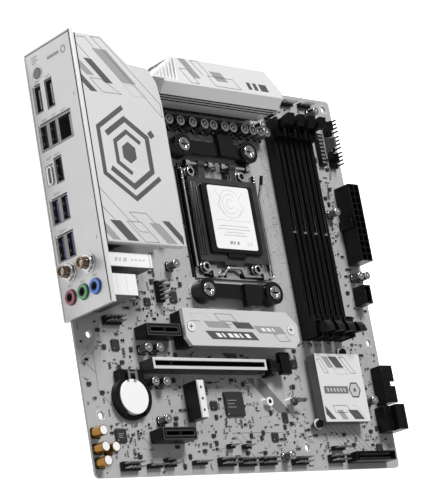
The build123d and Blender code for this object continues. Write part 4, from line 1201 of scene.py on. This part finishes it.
def taken_places():
    """(x, t) ranges where nothing small may be placed."""
    taken = []
    for node in NODES:
        if node not in KEEP_OFF_SKIP:
            taken += [(x, t) for x, t, z in island_boxes(node) if z[0] < 4.0]
    taken += [(about(x, HOLE_CLEARANCE), about(t, HOLE_CLEARANCE)) for x, t in HOLES]
    return taken


def is_free(taken, x, t, half_x, half_t, gap=0.7):
    """Whether a part of this size stays on the board and clear of what is taken."""
    if not (2.0 < x < BOARD - 2.0 and 2.0 < t < BOARD - 2.0):
        return False
    return all(x + half_x + gap < bx[0] or x - half_x - gap > bx[1]
               or t + half_t + gap < bt[0] or t - half_t - gap > bt[1] for bx, bt in taken)


# zones of small parts: (x range, t range, how many groups)
ZONES = [
    ((209.4, 232.0), (14.0, 58.0), 52), ((209.4, 231.0), (58.0, 128.0), 88),
    ((168.0, 231.0), (165.0, 173.4), 52), ((210.0, 243.0), (128.0, 180.0), 56),
    ((36.0, 98.0), (123.0, 149.0), 92), ((2.0, 44.0), (156.0, 216.0), 92),
    ((44.0, 72.0), (137.0, 158.0), 36), ((12.0, 44.0), (213.0, 235.0), 52),
    ((60.0, 100.0), (186.6, 232.0), 100), ((98.0, 172.0), (206.0, 233.0), 120),
    ((98.0, 130.0), (188.0, 206.0), 44), ((60.0, 172.0), (172.4, 178.6), 60),
    ((156.0, 176.0), (174.0, 200.0), 40), ((172.0, 236.0), (217.0, 234.0), 52),
    ((217.0, 233.0), (176.0, 226.0), 52),
    ((98.0, 160.0), (132.0, 149.0), 44), ((170.0, 236.0), (2.0, 16.0), 44),
    ((60.0, 97.0), (40.0, 122.0), 48), ((8.0, 196.0), (232.6, 241.8), 48),
]


PART_SIZES = {"chip": (1.7, 0.85, 0.7), "tiny": (1.0, 0.5, 0.45), "block": (2.6, 2.0, 1.0)}


def small_parts():
    """Seeded rows of chip resistors, capacitors and transistors in the free board areas."""
    field = Piece("ceramic", "solder", "chip_epoxy", "black_and_painted_shade")
    taken = taken_places()
    for x_range, t_range, groups in ZONES:
        for _ in range(groups):
            kind = RNG.choice(("chip", "chip", "tiny", "tiny", "tiny", "tiny", "block"))
            upright = RNG.random() < 0.5
            long, wide, high = PART_SIZES[kind]
            half_x, half_t = (wide / 2, long / 2) if upright else (long / 2, wide / 2)
            step = (wide + 0.55, 0) if upright else (0, wide + 0.55)
            x, t = RNG.uniform(*x_range), RNG.uniform(*t_range)
            for k in range(1 if kind == "block" else RNG.choice((1, 1, 1, 2, 2, 3, 4))):
                cx, ct = x + step[0] * k, t + step[1] * k
                if not is_free(taken, cx, ct, half_x, half_t):
                    continue
                # neighbours in a row may stand nearer than other parts
                taken.append(((cx - half_x + 0.45, cx + half_x - 0.45),
                              (ct - half_t + 0.45, ct + half_t - 0.45)))
                add_small_part(field, kind, cx, ct, half_x, half_t, high, upright)
    field.make("small_parts", slot="chip_epoxy")


def add_small_part(field, kind, x, t, half_x, half_t, high, upright):
    """One part, with its solder ends along t if upright and along x otherwise."""
    line, half_wide = (x, half_x) if upright else (t, half_t)
    centre, half_long = (t, half_t) if upright else (x, half_x)

    def solid(across, along, z, finish, inset=0.0):
        field.box(*in_axes(across, along, not upright), z, finish, inset)

    if kind == "block":
        solid(about(line, half_wide), about(centre, half_long), (0.1, high), "chip_epoxy", 0.12)
        leg_pitch = 0.7 if upright else 0.6
        for k in (-1, 0, 1):
            for side in (-1, 1):
                ends = span(centre + side * (half_long - 0.1), centre + side * (half_long + 0.4))
                solid(about(line + leg_pitch * k, 0.18), ends, (0.0, 0.25), "solder")
        return
    body = RNG.choice(("ceramic", "chip_epoxy", "chip_epoxy", "black_and_painted_shade"))
    cap = 0.26
    solid(about(line, half_wide), (centre - half_long + cap, centre + half_long - cap),
          (0.0, high), body)
    for side in (-1, 1):
        ends = span(centre + side * (half_long - cap), centre + side * half_long)
        solid(about(line, half_wide), ends, (0.0, high), "solder", 0.06)


def hole_rings():
    """Tinned rings round the mounting holes, and a scatter of plated vias."""
    rings = Piece("solder", "ink_light", "ink_line")
    for x, t in HOLES:
        rings.ring((x, t, 0), (2.0, 3.6), (-0.01, 0.04), "z", "ink_light", 32)
        for place in arc(x, t, 2.8, range(22, 382, 45)):
            rings.lathe((*place, 0), [(0.32, 0.0), (0.3, 0.08)], "z", "solder", 10)
    taken = taken_places()
    for _ in range(VIAS):
        x, t = RNG.uniform(3, 241), RNG.uniform(3, 241)
        if is_free(taken, x, t, 0.2, 0.2, 0.3):
            rings.lathe((x, t, 0), [(0.2, 0.0), (0.17, 0.03)], "z", "ink_line", 6, smooth=False)
    rings.make("board_rings", slot="solder")


def silkscreen():
    """Rows of short dashes and boxes beside the parts, in place of lettering."""
    marks = Piece("ink_line")
    taken = taken_places()
    for _ in range(DASH_ROWS):
        x, t = RNG.uniform(4, 238), RNG.uniform(4, 240)
        upright, count = RNG.random() < 0.5, RNG.randint(2, 6)
        for k in range(count):
            cx, ct = (x, t + 0.75 * k) if upright else (x + 0.75 * k, t)
            if is_free(taken, cx, ct, 0.3, 0.3, 0.2):
                wide, high = RNG.uniform(0.12, 0.24), RNG.uniform(0.2, 0.34)
                marks.box(about(cx, wide), about(ct, high), (0.0, INK), "ink_line")
    # three columns of fine marks between the socket and the memory slots
    for row in range(58):
        for column in range(3):
            if RNG.random() < 0.7:
                x, t = 170.6 + 1.7 * column, 40.0 + 1.3 * row
                marks.box((x, x + RNG.uniform(0.4, 1.1)), (t, t + 0.4), (0.0, INK), "ink_line")
    marks.make("board_silkscreen", slot="board_laminate")


def electronics():
    header_pins()
    slot_contacts()
    slot_ribs()
    edge_connector_details()
    capacitor_tops()
    chip_details()
    small_parts()
    hole_rings()
    silkscreen()
    slot_borders()
    fan_headers()
    socket_metalwork()
    standoff_tops()


# ---------------------------------------------------------------- stage
CAMERA_PLACE = (-0.76402, -0.27580, 0.77496)
CAMERA_RIGHT = (0.730732, -0.167673, 0.661752)
CAMERA_UP = (-0.054615, 0.951901, 0.301498)
CAMERA_LENS = 135.98


def make_camera():
    camera = bpy.data.objects.new("camera", bpy.data.cameras.new("camera"))
    bpy.context.scene.collection.objects.link(camera)
    right, up = Vector(CAMERA_RIGHT), Vector(CAMERA_UP)
    turn = Matrix((right, up, right.cross(up))).transposed()
    camera.matrix_world = Matrix.Translation(CAMERA_PLACE) @ turn.to_4x4()
    camera.data.lens = CAMERA_LENS
    camera.data.sensor_width = 36.0
    camera.data.clip_start = 0.02
    camera.data.clip_end = 60.0
    bpy.context.scene.camera = camera


def area_light(name, place, target, size, power):
    light = bpy.data.lights.new(name, "AREA")
    light.shape = "DISK"
    light.size = size
    light.energy = power
    lamp = bpy.data.objects.new(name, light)
    bpy.context.scene.collection.objects.link(lamp)
    lamp.location = place
    lamp.rotation_mode = "QUATERNION"
    lamp.rotation_quaternion = (Vector(target) - Vector(place)).to_track_quat("-Z", "Y")


def make_stage():
    mesh = bmesh.new()
    bmesh.ops.create_grid(mesh, x_segments=1, y_segments=1, size=12.0)
    data = bpy.data.meshes.new("floor")
    mesh.to_mesh(data)
    mesh.free()
    floor = bpy.data.objects.new("floor", data)
    floor.location.z = cad_box[0].z - 0.0005
    bpy.context.scene.collection.objects.link(floor)
    paper = finish_of("floor_white", grey(0.90), 0.8, vary=0.005, grain=2.0, bump=0.0, patch=300.0)
    # a light table: a little light of its own keeps the floor pale under the object
    glow = paper.node_tree.nodes["Principled BSDF"].inputs
    glow["Emission Color"].default_value = (1, 1, 1, 1)
    glow["Emission Strength"].default_value = 0.8
    data.materials.append(paper)
    world = bpy.data.worlds.new("studio")
    world.use_nodes = True
    sky = world.node_tree.nodes["Background"].inputs
    sky["Color"].default_value = (1, 1, 1, 1)
    sky["Strength"].default_value = 0.22
    bpy.context.scene.world = world
    middle_of_board = (0, 0, 0.02)
    area_light("key", (0.3, 1.5, 1.8), middle_of_board, 0.8, 58.0)
    area_light("fill", (-1.7, -0.5, 0.7), middle_of_board, 0.8, 8.0)
    bpy.context.scene.view_settings.view_transform = "Standard"


dress_nodes()
rear_panel()
artwork()
electronics()
make_camera()
make_stage()
